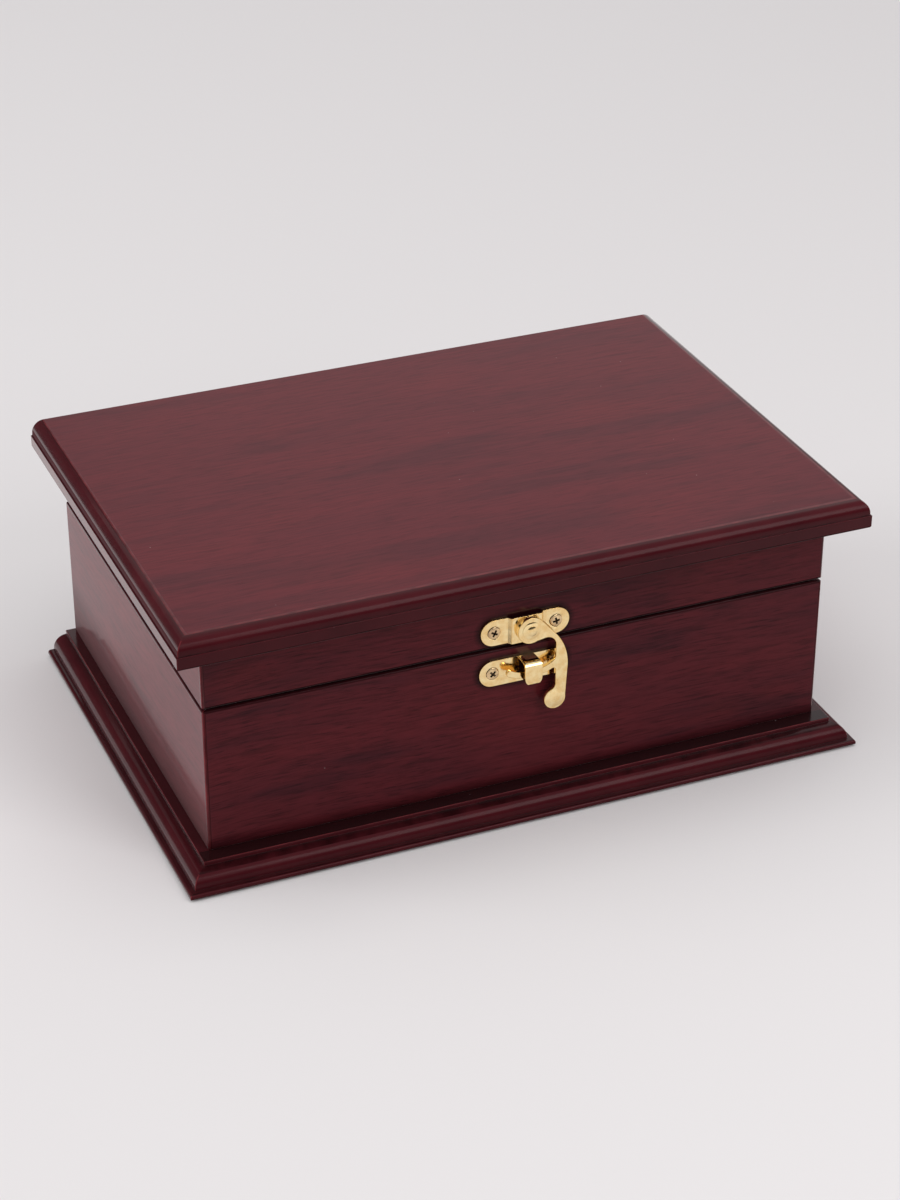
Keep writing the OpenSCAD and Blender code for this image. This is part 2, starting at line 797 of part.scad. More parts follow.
base_felt();
plinth_board();
case_front();
case_back();
case_left();
case_right();
floor_lining();
lining_front();
lining_back();
lining_left();
lining_right();
lid_board();
rim_front();
rim_back();
rim_left();
rim_right();
lid_lining();
hinge_left_lower();
hinge_right_lower();
hinge_left_upper();
hinge_right_upper();
hinge_pin_left();
hinge_pin_right();
hinge_screws_lower();
hinge_screws_upper();
hook_plate();
hook_rivet();
hook_washer();
swing_hook();
keeper_plate();
hook_plate_screws();
keeper_screws();
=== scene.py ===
# %% [markdown]
# # A hinged keepsake box
# A small wooden box with a moulded lid board, a moulded plinth board, a felt lining and a brass
# swing-hook catch. The frame that is loaded first fixes every size and place, so each piece below
# starts from a solid of the frame or takes its numbers from one. The cells then give that piece
# what a plain solid lacks: soft arrises, a domed face, a nap, a screw's cross recess, a finish.

# %% Load the frame
import json
import math

import bmesh
import bpy
from mathutils import Euler, Matrix, Vector, noise


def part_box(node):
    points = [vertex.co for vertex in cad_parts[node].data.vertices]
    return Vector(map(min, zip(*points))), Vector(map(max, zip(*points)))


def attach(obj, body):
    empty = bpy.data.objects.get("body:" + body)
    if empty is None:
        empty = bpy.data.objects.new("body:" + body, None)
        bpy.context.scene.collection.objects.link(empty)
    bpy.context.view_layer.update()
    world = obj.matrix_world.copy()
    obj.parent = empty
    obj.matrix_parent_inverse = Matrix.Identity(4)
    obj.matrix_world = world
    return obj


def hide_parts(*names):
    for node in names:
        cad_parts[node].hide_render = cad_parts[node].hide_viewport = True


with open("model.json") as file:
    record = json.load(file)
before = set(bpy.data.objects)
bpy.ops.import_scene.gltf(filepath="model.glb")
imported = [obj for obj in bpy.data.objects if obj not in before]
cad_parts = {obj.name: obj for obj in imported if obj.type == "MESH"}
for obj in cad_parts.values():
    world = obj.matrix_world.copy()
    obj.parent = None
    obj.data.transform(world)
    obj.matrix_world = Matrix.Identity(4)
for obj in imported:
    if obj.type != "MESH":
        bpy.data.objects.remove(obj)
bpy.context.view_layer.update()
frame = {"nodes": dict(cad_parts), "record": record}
MM = 0.001
record = frame["record"]
BODY_OF = {node: body for body, nodes in record["behaviour"]["bodies"].items() for node in nodes}
SLOT_OF = {part["node"]: part["material_slot"] for part in record["subparts"]}

# %% Helpers for objects and meshes


def to_scene(thing):
    """Puts an object in the scene and hands it back."""
    bpy.context.scene.collection.objects.link(thing)
    return thing


def to_mesh(bm, name):
    """Makes the bmesh a mesh of its own and frees it."""
    mesh = bpy.data.meshes.new(name)
    bm.to_mesh(mesh)
    bm.free()
    return mesh


def modified_mesh(thing):
    """The mesh that an object's modifiers make. The object itself is taken away."""
    depsgraph = bpy.context.evaluated_depsgraph_get()
    mesh = bpy.data.meshes.new_from_object(thing.evaluated_get(depsgraph))
    bpy.data.objects.remove(thing)
    return mesh


def smooth(mesh, sharp):
    """Shades the mesh smooth, but for edges sharper than the given angle."""
    mesh.polygons.foreach_set("use_smooth", [True] * len(mesh.polygons))
    mesh.set_sharp_from_angle(angle=sharp)


def circle(radius, count):
    """Points at even steps round a circle, as pairs of numbers."""
    angles = [2 * math.pi * k / count for k in range(count)]
    return [(radius * math.cos(a), radius * math.sin(a)) for a in angles]


def skin(bm, rings):
    """Faces between each ring of corners and the next. A ring of one corner closes an end."""
    made = []
    for a, b in zip(rings[:-1], rings[1:]):
        count = max(len(a), len(b))
        for k in range(count):
            n = (k + 1) % count
            corners = [a[k % len(a)], a[n % len(a)], b[n % len(b)], b[k % len(b)]]
            made.append(bm.faces.new(list(dict.fromkeys(corners))))
    bmesh.ops.recalc_face_normals(bm, faces=made)


print("mesh helpers ready")

# %% [markdown]
# ## Camera
# The box is seen from its front left corner and from above, with a long lens, so its upright edges
# stay nearly parallel.

# %% Camera
CAMERA_PLACE = (-0.3508, -0.8584, 0.5690)
CAMERA_TURN = (60.27, 0, -22.58)
LENS = 86.7
FILM_HEIGHT = 36


def make_camera():
    """The camera at its place, with the film's height as its measure."""
    data = bpy.data.cameras.new("camera")
    data.sensor_fit = "VERTICAL"
    data.sensor_height = FILM_HEIGHT
    data.lens = LENS
    camera = to_scene(bpy.data.objects.new("camera", data))
    camera.location = CAMERA_PLACE
    camera.rotation_euler = [math.radians(a) for a in CAMERA_TURN]
    bpy.context.scene.camera = camera
    return camera


camera = make_camera()
print("camera", round(camera.location.length, 3), "m from the box")

# %% [markdown]
# ## Nodes by name
# Every finish below is a small network of shader nodes. A few helpers keep the networks readable:
# they add a node with its settings, feed its inputs, and hand back the output that is wanted.
# Effects that several finishes share are node groups with named inputs and outputs.

# %% Helpers for node networks


def feed(tree, made, inputs):
    """Joins sockets to the node's inputs and sets plain values, by name or number."""
    for key, value in inputs.items():
        if isinstance(value, bpy.types.NodeSocket):
            tree.links.new(value, made.inputs[key])
        else:
            made.inputs[key].default_value = value
    return made


def add(tree, kind, inputs=None, **settings):
    """A new node in the tree, with its inputs fed and its settings given by name."""
    made = tree.nodes.new(kind)
    for key, value in settings.items():
        setattr(made, key, value)
    return feed(tree, made, inputs or {})


def new_group(name, inputs, outputs):
    """A shader node group. inputs and outputs are lists of (name, socket kind)."""
    tree = bpy.data.node_groups.new(name, "ShaderNodeTree")
    for way, sockets in (("INPUT", inputs), ("OUTPUT", outputs)):
        for label, kind in sockets:
            tree.interface.new_socket(label, in_out=way, socket_type="NodeSocket" + kind)
    return tree, tree.nodes.new("NodeGroupInput"), tree.nodes.new("NodeGroupOutput")


def use_group(tree, group, inputs=None):
    """Places the group in the tree. Returns its outputs."""
    return add(tree, "ShaderNodeGroup", inputs, node_tree=group).outputs


def new_material(name):
    """A material, its network and its shader node."""
    material = bpy.data.materials.new(name)
    material.use_nodes = True
    return material, material.node_tree, material.node_tree.nodes["Principled BSDF"]


def object_place(tree):
    """Where a point lies on its piece, which is also its place in the frame."""
    return add(tree, "ShaderNodeTexCoord").outputs["Object"]


def object_xyz(tree):
    """The three coordinates of that place."""
    return add(tree, "ShaderNodeSeparateXYZ", {0: object_place(tree)}).outputs


def read_mark(tree, name):
    """The value of one of the mesh's own marks."""
    return add(tree, "ShaderNodeAttribute", attribute_name=name).outputs["Fac"]


def maths(tree, operation, *values):
    """A math node on one to three sockets or numbers. Returns its output."""
    return add(tree, "ShaderNodeMath", dict(enumerate(values)), operation=operation).outputs[0]


def times(tree, a, b):
    """Two sockets or numbers multiplied."""
    return maths(tree, "MULTIPLY", a, b)


def minus(tree, a, b):
    """What is left when b is taken from a."""
    return maths(tree, "SUBTRACT", a, b)


def mix(tree, factor, a, b, blend="MIX"):
    """A colour mix, its factor and colours given as sockets or values. Returns its output."""
    return add(tree, "ShaderNodeMix", {0: factor, 6: a, 7: b}, data_type="RGBA", blend_type=blend).outputs[2]


def lay(tree, colour, mask, share, tone):
    """Lays a tone over the colour where the mask is 1, by the given share."""
    return mix(tree, times(tree, mask, share), colour, tone)


def ramp(tree, value, stops):
    """A colour ramp. stops are (place, colour) pairs, and a number stands for a grey."""
    made = add(tree, "ShaderNodeValToRGB", {"Fac": value})
    elements = made.color_ramp.elements
    while len(elements) < len(stops):
        elements.new(0.5)
    for element, (place, colour) in zip(elements, stops):
        element.position = place
        element.color = (colour, colour, colour, 1) if isinstance(colour, (int, float)) else (*colour, 1)
    return made.outputs["Color"]


def noise_at(tree, coords, stretch, detail=3.0, roughness=0.5):
    """Noise with stretch features per metre along X, Y and Z, or with one number for all three."""
    scale = stretch if isinstance(stretch, tuple) else (stretch, stretch, stretch)
    mapped = add(tree, "ShaderNodeMapping", {"Vector": coords, "Scale": scale})
    return add(tree, "ShaderNodeTexNoise", {
        "Vector": mapped.outputs[0], "Scale": 1.0, "Detail": detail, "Roughness": roughness,
    }).outputs["Fac"]


def bump(tree, height, strength, distance):
    """The surface's direction, bent by a height from 0 to 1 that stands for the distance in metres."""
    return add(tree, "ShaderNodeBump", {
        "Height": height, "Strength": strength, "Distance": distance,
    }).outputs[0]


print("node helpers ready")

# %% [markdown]
# ## Rosewood figure
# The faces carry a rosewood figure: broad dark bands, short fibres and very thin dark pores, all
# drawn out along the grain. It is worked out from noise, so it has no seams and fits any size. Each
# layer is noise whose coordinates are squeezed across the grain, and a slow wander bends all layers
# together, as a tree's growth does.

# %% Node group: rosewood figure
BAND_STRETCH = (11.0, 80.0, 80.0)
FIBRE_STRETCH = (75.0, 900.0, 900.0)
PORE_STRETCH = (120.0, 2400.0, 2400.0)
BLUSH_STRETCH = (14.0, 26.0, 26.0)
BENDS = 7.0
WANDER = 0.012
BAND_TONES = [
    (0.34, (0.074, 0.0100, 0.0155)),
    (0.46, (0.098, 0.0118, 0.0175)),
    (0.66, (0.110, 0.0125, 0.0180)),
]
BLUSH_SHARE = [(0.55, 0.0), (0.78, 0.5)]
FIBRE_SHADE = [(0.34, 0.78), (0.50, 1.0), (0.66, 1.10)]
PORE_SHARE = [(0.56, 0.0), (0.70, 0.45)]
BLUSH = (0.136, 0.0150, 0.0180, 1)
PORE = (0.030, 0.0045, 0.0075, 1)
PLAIN_WOOD = (0.095, 0.0112, 0.0170, 1)
PORE_MATT = 0.08
FIGURE_MATT = 0.5


def make_figure():
    """Colour, roughness and height of the figured wood. Turn is the grain's direction.

    Contrast above 1 draws the figure stronger than it is, and below 1 weaker. The roughness is what
    a figured face has over a stained one.
    """
    tree, given, out = new_group(
        "rosewood_figure",
        [("Turn", "Vector"), ("Offset", "Vector"), ("Contrast", "Float")],
        [("Color", "Color"), ("Roughness", "Float"), ("Height", "Float")],
    )
    turned = add(tree, "ShaderNodeMapping", {
        "Vector": object_place(tree), "Rotation": given.outputs["Turn"], "Location": given.outputs["Offset"],
    }).outputs[0]
    slow = add(tree, "ShaderNodeTexNoise", {"Vector": turned, "Scale": BENDS, "Detail": 1.0})
    centred = add(tree, "ShaderNodeVectorMath", {0: slow.outputs["Color"], 1: (0.5, 0.5, 0.5)},
                  operation="SUBTRACT")
    sway = add(tree, "ShaderNodeVectorMath", {0: centred.outputs[0], "Scale": WANDER}, operation="SCALE")
    wood = add(tree, "ShaderNodeVectorMath", {0: turned, 1: sway.outputs[0]}, operation="ADD").outputs[0]

    bands = ramp(tree, noise_at(tree, wood, BAND_STRETCH, roughness=0.55), BAND_TONES)
    blushes = ramp(tree, noise_at(tree, wood, BLUSH_STRETCH, detail=2.0), BLUSH_SHARE)
    fibres = ramp(tree, noise_at(tree, wood, FIBRE_STRETCH, roughness=0.6), FIBRE_SHADE)
    pores = ramp(tree, noise_at(tree, wood, PORE_STRETCH, detail=2.0), PORE_SHARE)

    warmed = mix(tree, blushes, bands, BLUSH)
    streaked = mix(tree, 1.0, warmed, fibres, "MULTIPLY")
    dashed = mix(tree, pores, streaked, PORE)
    toned = mix(tree, given.outputs["Contrast"], PLAIN_WOOD, dashed)
    toned.node.clamp_factor = False
    feed(tree, out, {
        "Color": toned,
        "Roughness": maths(tree, "MULTIPLY_ADD", pores, PORE_MATT, FIGURE_MATT),
        "Height": minus(tree, 1.0, pores),
    })
    return tree


figure_group = make_figure()
print("group", figure_group.name, len(figure_group.nodes), "nodes")

# %% [markdown]
# ## Stained edges, worn arrises, painted light and shade, and dust
# The mouldings are cut through the board, sanded and stained, so they show no figure, only a cloudy
# stain. The stain is thinner on the crown of each round, and painted light and shade lie over it:
# each round is painted lighter halfway up and on faces that look left, and level ledges are painted
# dark as shade. On every sharp arris the stain is rubbed through to a redder wood, and the lid's band
# that looks left is painted lighter the same way. Painted shade lies in the creases, along the foot
# of the walls, close round the catch and on the ledge before the front. A few grains of dust lie in
# the lacquer.

# %% Node groups: stain with painted light and shade, and arris wear with painted crease shade
CLOUDS = 60.0
PATCHES = 180.0
PATCH_SHARE = [(0.35, 0.35), (0.65, 1.0)]
# The deep tones are painted shade for level ledges, the thin tones painted light for the rounds.
DEEP_STAIN_PAINTED_SHADE = [(0.30, (0.026, 0.0022, 0.0036)), (0.70, (0.034, 0.0032, 0.0050))]
THIN_STAIN_PAINTED_LIGHT = [(0.30, (0.051, 0.0058, 0.0090)), (0.70, (0.069, 0.0078, 0.0115))]


def make_stain_and_painted_light():
    """Cloudy stain on plain wood, thinner on crowns, with painted light and shade: darkest on level ledges,
    lightest halfway up each round and on faces that look left.
    """
    tree, _, out = new_group("cloudy_stain", [], [("Color", "Color")])
    clouds = noise_at(tree, object_place(tree), CLOUDS, detail=4.0, roughness=0.6)
    deep, thin = ramp(tree, clouds, DEEP_STAIN_PAINTED_SHADE), ramp(tree, clouds, THIN_STAIN_PAINTED_LIGHT)
    feed(tree, out, {"Color": mix(tree, read_mark(tree, "crown"), deep, thin)})
    return tree


def make_edge_wear_and_shade():
    """How far the stain is rubbed through on an arris, and how much painted shade lies in a crease."""
    tree, _, out = new_group("rubbed_and_pooled", [], [("Rubbed", "Float"), ("Pooled", "Float")])
    patches = ramp(tree, noise_at(tree, object_place(tree), PATCHES), PATCH_SHARE)
    feed(tree, out, {
        "Rubbed": times(tree, read_mark(tree, "arris"), patches),
        "Pooled": times(tree, read_mark(tree, "crease"), patches),
    })
    return tree


stain_and_light_group = make_stain_and_painted_light()
edge_wear_and_shade_group = make_edge_wear_and_shade()
print("groups", stain_and_light_group.name, "and", edge_wear_and_shade_group.name)

# %% Node groups: painted shade at the walls' foot, round the plates and on the ledge
MASK = [("Mask", "Float")]
FOOT_FADE = 4.0 * MM
END_FOOT_FADE = 24.0 * MM
HALO_FADE = 2.5 * MM
HALO_STEPS = [(0.0, 1.0), (0.35, 0.75), (1.0, 0.0)]
CATCH_PLATE_HEIGHT = 10.0 * MM
LEDGE_BAND = 0.2 * MM


def make_foot_shade():
    """Painted shade along the foot of the walls, from the board's top upwards."""
    tree, given, out = new_group("wall_foot", [("Foot", "Float"), ("Fade", "Float")], MASK)
    height = object_xyz(tree)[2]
    above = maths(tree, "DIVIDE", minus(tree, height, given.outputs["Foot"]), given.outputs["Fade"])
    feed(tree, out, {"Mask": ramp(tree, above, [(0.0, 1.0), (1.0, 0.0)])})
    return tree


def from_plate(tree, node, x, z):
    """How far a point of the front lies outside the round-ended outline of a plate of the catch."""
    low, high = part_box(node)
    radius = CATCH_PLATE_HEIGHT / 2
    middle = (low.x + high.x) / 2
    level = low.z + radius if node == "keeper_plate" else (low.z + high.z) / 2
    aside = maths(tree, "ABSOLUTE", minus(tree, x, middle))
    past_end = maths(tree, "MAXIMUM", minus(tree, aside, (high.x - low.x) / 2 - radius), 0.0)
    rise = minus(tree, z, level)
    square = maths(tree, "ADD", times(tree, past_end, past_end), times(tree, rise, rise))
    return minus(tree, maths(tree, "SQRT", square), radius)


def make_plate_shade():
    """Painted shade on the wood close round the two plates of the catch, on the front only."""
    tree, _, out = new_group("round_the_plates", [], MASK)
    x, y, z = object_xyz(tree)
    outside = [from_plate(tree, node, x, z) for node in ("hook_plate", "keeper_plate")]
    nearest = maths(tree, "MINIMUM", *outside)
    close = ramp(tree, maths(tree, "DIVIDE", nearest, HALO_FADE), HALO_STEPS)
    feed(tree, out, {"Mask": times(tree, close, maths(tree, "LESS_THAN", y, 0.0))})
    return tree


def make_ledge_shade():
    """Painted shade on the plinth's ledge in front of the wall."""
    tree, _, out = new_group("front_ledge", [], MASK)
    _, y, z = object_xyz(tree)
    wall_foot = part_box("case_front")[0]
    in_front = maths(tree, "LESS_THAN", y, wall_foot.y + LEDGE_BAND)
    off_level = maths(tree, "ABSOLUTE", minus(tree, z, wall_foot.z))
    feed(tree, out, {"Mask": times(tree, in_front, maths(tree, "LESS_THAN", off_level, LEDGE_BAND))})
    return tree


foot_shade_group = make_foot_shade()
plate_shade_group = make_plate_shade()
ledge_shade_group = make_ledge_shade()
print("groups", foot_shade_group.name, plate_shade_group.name, ledge_shade_group.name)

# %% Node group: dust
DUST_CELLS = 190.0
SPECK = [(0.028, 1.0), (0.055, 0.0)]


def make_dust():
    """Sparse pale specks, a fraction of a millimetre wide. Amount is the share of cells that hold one."""
    tree, given, out = new_group("dust", [("Amount", "Float")], MASK)
    cells = add(tree, "ShaderNodeTexVoronoi", {"Vector": object_place(tree), "Scale": DUST_CELLS})
    lot = add(tree, "ShaderNodeSeparateColor", {"Color": cells.outputs["Color"]}).outputs[0]
    chosen = maths(tree, "LESS_THAN", lot, given.outputs["Amount"])
    feed(tree, out, {"Mask": times(tree, ramp(tree, cells.outputs["Distance"], SPECK), chosen)})
    return tree


dust_group = make_dust()
print("group", dust_group.name)

# %% [markdown]
# ## Rosewood
# One function makes the wood's finish and takes the direction of the grain, because a maker turns
# each board so that its grain runs along it. It also takes a tone that paints each copy lighter or
# darker as painted light: the boards and the side walls lighter, the front and back walls darker.
# Under the lacquer the wood is fairly matt. The lacquer is the shader's coat: it mirrors softly, and
# more at a low angle, where the side walls go pale. It is missing where the spray hardly reaches:
# under the rounds, and thinly at the foot of the walls.

# %% Material: rosewood
RUBBED_AND_PAINTED_LIGHT = (0.85, (0.150, 0.0190, 0.0240, 1))
SPECKED = (0.35, (0.40, 0.34, 0.34, 1))
# A near black tone for painted shade: in creases, on the ledge, at the walls' foot and round the catch.
PAINTED_SHADE_TONE = (0.010, 0.0010, 0.0015, 1)
CREASE_SHADE_SHARE = 0.9
LEDGE_SHADE_SHARE = 0.85
FOOT_SHADE_SHARE = 0.7
PLATE_SHADE_SHARE = 0.85
BARE_FOOT = 0.9
DUSTY_CELLS = 0.10
PORE_BUMP = 0.15
PORE_DEPTH = 0.05 * MM
LACQUER = {"IOR": 1.5, "Specular Tint": (0.02, 0.02, 0.02, 1), "Coat IOR": 1.15,
           "Sheen Weight": 0.25, "Sheen Roughness": 0.3}


def rosewood(name, turn, offset, painted_light_tone, contrast, foot_fade=None, polish=(0.20, 0.16)):
    """Lacquered wood, figured along the turn direction where the mesh has veneer. The tone scales its colour
    as painted light: above 1 a lighter copy for a lit side, below 1 a darker copy for a shaded side.

    A wall has a foot_fade, the height over which it is painted darker as shade and its lacquer is thinner at
    its foot. A board has none. polish is the roughness of the wood and of the lacquer.
    """
    material, tree, shader = new_material(name)
    wood = use_group(tree, figure_group, {"Turn": turn, "Offset": offset, "Contrast": contrast})
    stain_and_light = use_group(tree, stain_and_light_group)
    edges = use_group(tree, edge_wear_and_shade_group)
    specks = use_group(tree, dust_group, {"Amount": DUSTY_CELLS})
    veneer = read_mark(tree, "veneer")
    dull = read_mark(tree, "dull")
    bare = dull
    # The stain's colour carries painted light and shade: lighter halfway up each round and on faces that look
    # left, darker on level ledges.
    colour = mix(tree, veneer, stain_and_light["Color"], wood["Color"])
    if not foot_fade:
        # Painted shade on the plinth's ledge in front of the front wall.
        ledge_shade = use_group(tree, ledge_shade_group)
        colour = lay(tree, colour, ledge_shade["Mask"], LEDGE_SHADE_SHARE, PAINTED_SHADE_TONE)
    # Rubbed arrises are wear; through the same mark the lid's band that looks left gets painted light.
    colour = lay(tree, colour, edges["Rubbed"], *RUBBED_AND_PAINTED_LIGHT)
    # Painted shade in the creases and under the rounds.
    colour = lay(tree, colour, edges["Pooled"], CREASE_SHADE_SHARE, PAINTED_SHADE_TONE)
    if foot_fade:
        # Painted shade: walls darker towards their foot and close round the catch plates; the lacquer is also
        # thinner at the foot.
        foot = use_group(tree, foot_shade_group, {"Foot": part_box("case_front")[0].z, "Fade": foot_fade})
        plate_shade = use_group(tree, plate_shade_group)
        bare = maths(tree, "MAXIMUM", dull, times(tree, foot["Mask"], BARE_FOOT))
        shade = maths(tree, "MAXIMUM", times(tree, foot["Mask"], FOOT_SHADE_SHARE),
                      times(tree, plate_shade["Mask"], PLATE_SHADE_SHARE))
        colour = mix(tree, shade, colour, PAINTED_SHADE_TONE)
    colour = lay(tree, colour, specks["Mask"], *SPECKED)
    matt = maths(tree, "ADD", times(tree, wood["Roughness"], veneer), polish[0])
    feed(tree, shader, LACQUER)
    # The tone multiplies the colour: painted light or shade for this copy.
    feed(tree, shader, {
        "Base Color": mix(tree, 1.0, colour, (painted_light_tone, painted_light_tone, painted_light_tone, 1), "MULTIPLY"),
        "Roughness": maths(tree, "MAXIMUM", matt, dull),
        "Coat Weight": minus(tree, 1.0, bare),
        "Coat Roughness": polish[1],
        "Normal": bump(tree, times(tree, wood["Height"], veneer), PORE_BUMP, PORE_DEPTH),
    })
    return material


ALONG_X = (0, 0, 0)
ALONG_Y = (0, 0, math.pi / 2)
# Lit and shaded copies of one wood: painted light on the boards and side walls, painted shade on the front
# and back walls.
lit_board_wood = rosewood("rosewood_boards", ALONG_X, (0.31, 0.12, 0.43), 1.08, 0.85)
shaded_wall_wood = rosewood("rosewood_walls", ALONG_X, (0.62, 0.35, 0.08), 0.74, 1.35, FOOT_FADE)
lit_end_wood = rosewood("rosewood_end_walls", ALONG_Y, (0.05, 0.77, 0.21), 1.60, 1.0, END_FOOT_FADE, (0.09, 0.08))
print("materials", lit_board_wood.name, shaded_wall_wood.name, lit_end_wood.name)

# %% [markdown]
# ## Brass
# The catch is polished brass, paler than the hinges and the screws. Handling leaves a faint uneven
# haze on it, so roughness and tint both wander a little. Its rolled edges carry a painted reflection
# of deeper gold, and the insides of the screws' recesses are darkened. Each kind of brass is the same
# network with its own tint.

# %% Material: brass
HAZE_CLOUDS = 420.0
HAZE_SHARE = [(0.35, 0.0), (0.70, 1.0)]
PIT_SPECKS = 2600.0
PIT_SHARE = [(0.66, 0.0), (0.76, 1.0)]
PITTED = (0.25, (0.25, 0.12, 0.04, 1))
PAINTED_EDGE_REFLECTION = (0.7, (0.78, 0.47, 0.14, 1))
RECESS_DARKENING = (0.9, (0.05, 0.03, 0.02, 1))
HAZE_BUMP = 0.3
HAZE_DEPTH = 0.02 * MM


def make_haze():
    """Uneven haze and fine pits of handled metal."""
    tree, _, out = new_group("metal_haze", [], [("Haze", "Float"), ("Pits", "Float")])
    place = object_place(tree)
    feed(tree, out, {
        "Haze": ramp(tree, noise_at(tree, place, HAZE_CLOUDS), HAZE_SHARE),
        "Pits": ramp(tree, noise_at(tree, place, PIT_SPECKS, detail=1.0), PIT_SHARE),
    })
    return tree


haze_group = make_haze()


def brass(name, tint, tarnish, polish, spread):
    """Metal with its tint drawn towards the tarnish and its roughness from polish to polish plus spread."""
    material, tree, shader = new_material(name)
    haze, pits = use_group(tree, haze_group)
    colour = mix(tree, haze, (*tint, 1), (*tarnish, 1))
    colour = lay(tree, colour, pits, *PITTED)
    # Painted reflection: the bevelled edges are drawn a deeper gold.
    colour = lay(tree, colour, read_mark(tree, "arris"), *PAINTED_EDGE_REFLECTION)
    # The insides of the screws' cross recesses are darkened.
    colour = lay(tree, colour, read_mark(tree, "recess"), *RECESS_DARKENING)
    feed(tree, shader, {
        "Base Color": colour,
        "Roughness": maths(tree, "MULTIPLY_ADD", haze, spread, polish),
        "Metallic": 1.0,
        "Normal": bump(tree, haze, HAZE_BUMP, HAZE_DEPTH),
    })
    return material


polished_brass = brass("polished_brass", (1.0, 0.80, 0.43), (0.90, 0.62, 0.27), 0.09, 0.10)
satin_brass = brass("satin_brass", (0.80, 0.56, 0.22), (0.70, 0.46, 0.18), 0.26, 0.12)
screw_brass = brass("screw_brass", (0.86, 0.64, 0.36), (0.62, 0.43, 0.24), 0.24, 0.14)
print("materials", polished_brass.name, satin_brass.name, screw_brass.name)

# %% [markdown]
# ## Felt
# Felt is pressed wool: no weave, a soft sheen where fibres stand up, and a dense short nap. Two
# scales of noise give the nap its bump and colour, and the shader's sheen gives the soft edge.

# %% Material: felt
NAP = 1800.0
MATTED = 160.0
NAP_SHARE = 0.6
NAP_BUMP = 0.5
NAP_DEPTH = 0.15 * MM
WOOL = {"Roughness": 0.95, "Sheen Weight": 0.35, "Sheen Roughness": 0.5}


def felt(name, dark, light):
    """Short pressed nap between two close tones."""
    material, tree, shader = new_material(name)
    place = object_place(tree)
    nap = noise_at(tree, place, NAP, roughness=0.7)
    matted = noise_at(tree, place, MATTED)
    blend = maths(tree, "MULTIPLY_ADD", nap, NAP_SHARE, times(tree, matted, 1 - NAP_SHARE))
    feed(tree, shader, {
        "Base Color": ramp(tree, blend, [(0.30, dark), (0.70, light)]),
        "Normal": bump(tree, nap, NAP_BUMP, NAP_DEPTH),
    })
    feed(tree, shader, WOOL)
    return material


black_felt = felt("black_felt", (0.010, 0.010, 0.012), (0.028, 0.027, 0.031))
print("material", black_felt.name)

# %% [markdown]
# ## Softened copies
# No real arris is knife sharp. A rigid piece is therefore a copy of its solid whose loose triangles
# are merged and whose flat faces are made whole, with each sharp arris then bevelled a fraction of
# a millimetre. The bevel's own faces are marked, so the finish can rub the stain thin on an arris
# and paint shade into a crease.

# %% Helpers for softened copies
MERGE = 0.002 * MM
SHARP = math.radians(50)
FLAT_WITHIN = math.radians(0.5)
SLIVER = 0.003 * MM
SHARE_OF_ROOM = 0.4
STEPS_ASIDE = 0.3
TINY = 1e-18
HOLLOW_REACH = 1.1


def merged_copy(node, merge=MERGE):
    """The node's mesh with its triangles merged, corners closer than merge joined, and flat faces whole."""
    bm = bmesh.new()
    bm.from_mesh(frame["nodes"][node].data)
    bmesh.ops.remove_doubles(bm, verts=bm.verts, dist=merge)
    bmesh.ops.dissolve_limit(bm, angle_limit=FLAT_WITHIN, verts=bm.verts, edges=bm.edges)
    return bm


def closest_on(point, a, b):
    """The point of the segment from a to b that is closest to the given point."""
    along = b - a
    share = (point - a).dot(along) / max(along.length_squared, TINY)
    return a + along * min(max(share, 0.0), 1.0)


def room_beside(edge):
    """How far the faces on both sides of an edge reach away from it, at its ends and in all."""
    start = edge.verts[0].co
    along = (edge.verts[1].co - start).normalized()
    room = math.inf
    for face in edge.link_faces:
        offsets = [v.co - start for v in face.verts]
        room = min(room, max((o - along * o.dot(along)).length for o in offsets))
        for vert in edge.verts:
            side = [e for e in vert.link_edges if e in face.edges and e != edge][0]
            step = side.other_vert(vert).co - vert.co
            across = (step - along * step.dot(along)).length
            if across > STEPS_ASIDE * step.length:
                room = min(room, across)
    return room


def soften(bm, width, segments):
    """A mesh with every sharp edge bevelled, and the bevel's faces marked as arris, or as crease for painted
    shade.

    Where there is little room beside an edge its bevel is narrower, so that no two bevels cross.
    """
    weight = bm.edges.layers.float.new("bevel_weight_edge")
    hollow = []
    for edge in bm.edges:
        if edge.is_manifold and edge.calc_face_angle() > SHARP:
            edge[weight] = min(1.0, SHARE_OF_ROOM * room_beside(edge) / width)
            if not edge.is_convex:
                hollow.append((edge.verts[0].co.copy(), edge.verts[1].co.copy()))
    mesh = to_mesh(bm, "draft")
    mesh.materials.append(None)
    mesh.materials.append(None)
    draft = to_scene(bpy.data.objects.new("draft", mesh))
    bevel = draft.modifiers.new("soft", "BEVEL")
    bevel.limit_method = "WEIGHT"
    bevel.width = width
    bevel.segments = segments
    bevel.use_clamp_overlap = False
    bevel.material = 1
    soft = bmesh.new()
    soft.from_mesh(modified_mesh(draft))
    bmesh.ops.remove_doubles(soft, verts=soft.verts, dist=SLIVER)
    bmesh.ops.dissolve_degenerate(soft, edges=soft.edges, dist=SLIVER)
    arris = soft.faces.layers.float.new("arris")
    crease = soft.faces.layers.float.new("crease")
    for face in soft.faces:
        if face.material_index == 1:
            middle = face.calc_center_median()
            reach = HOLLOW_REACH * width
            in_hollow = any((middle - closest_on(middle, a, b)).length < reach for a, b in hollow)
            face[crease if in_hollow else arris] = 1.0
            face.material_index = 0
    return soft


def hold_in_box(bm, node):
    """Brings corners that a bevel pushed a hair outside back into the node's box."""
    low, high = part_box(node)
    for vert in bm.verts:
        vert.co = Vector([min(max(vert.co[i], low[i]), high[i]) for i in range(3)])


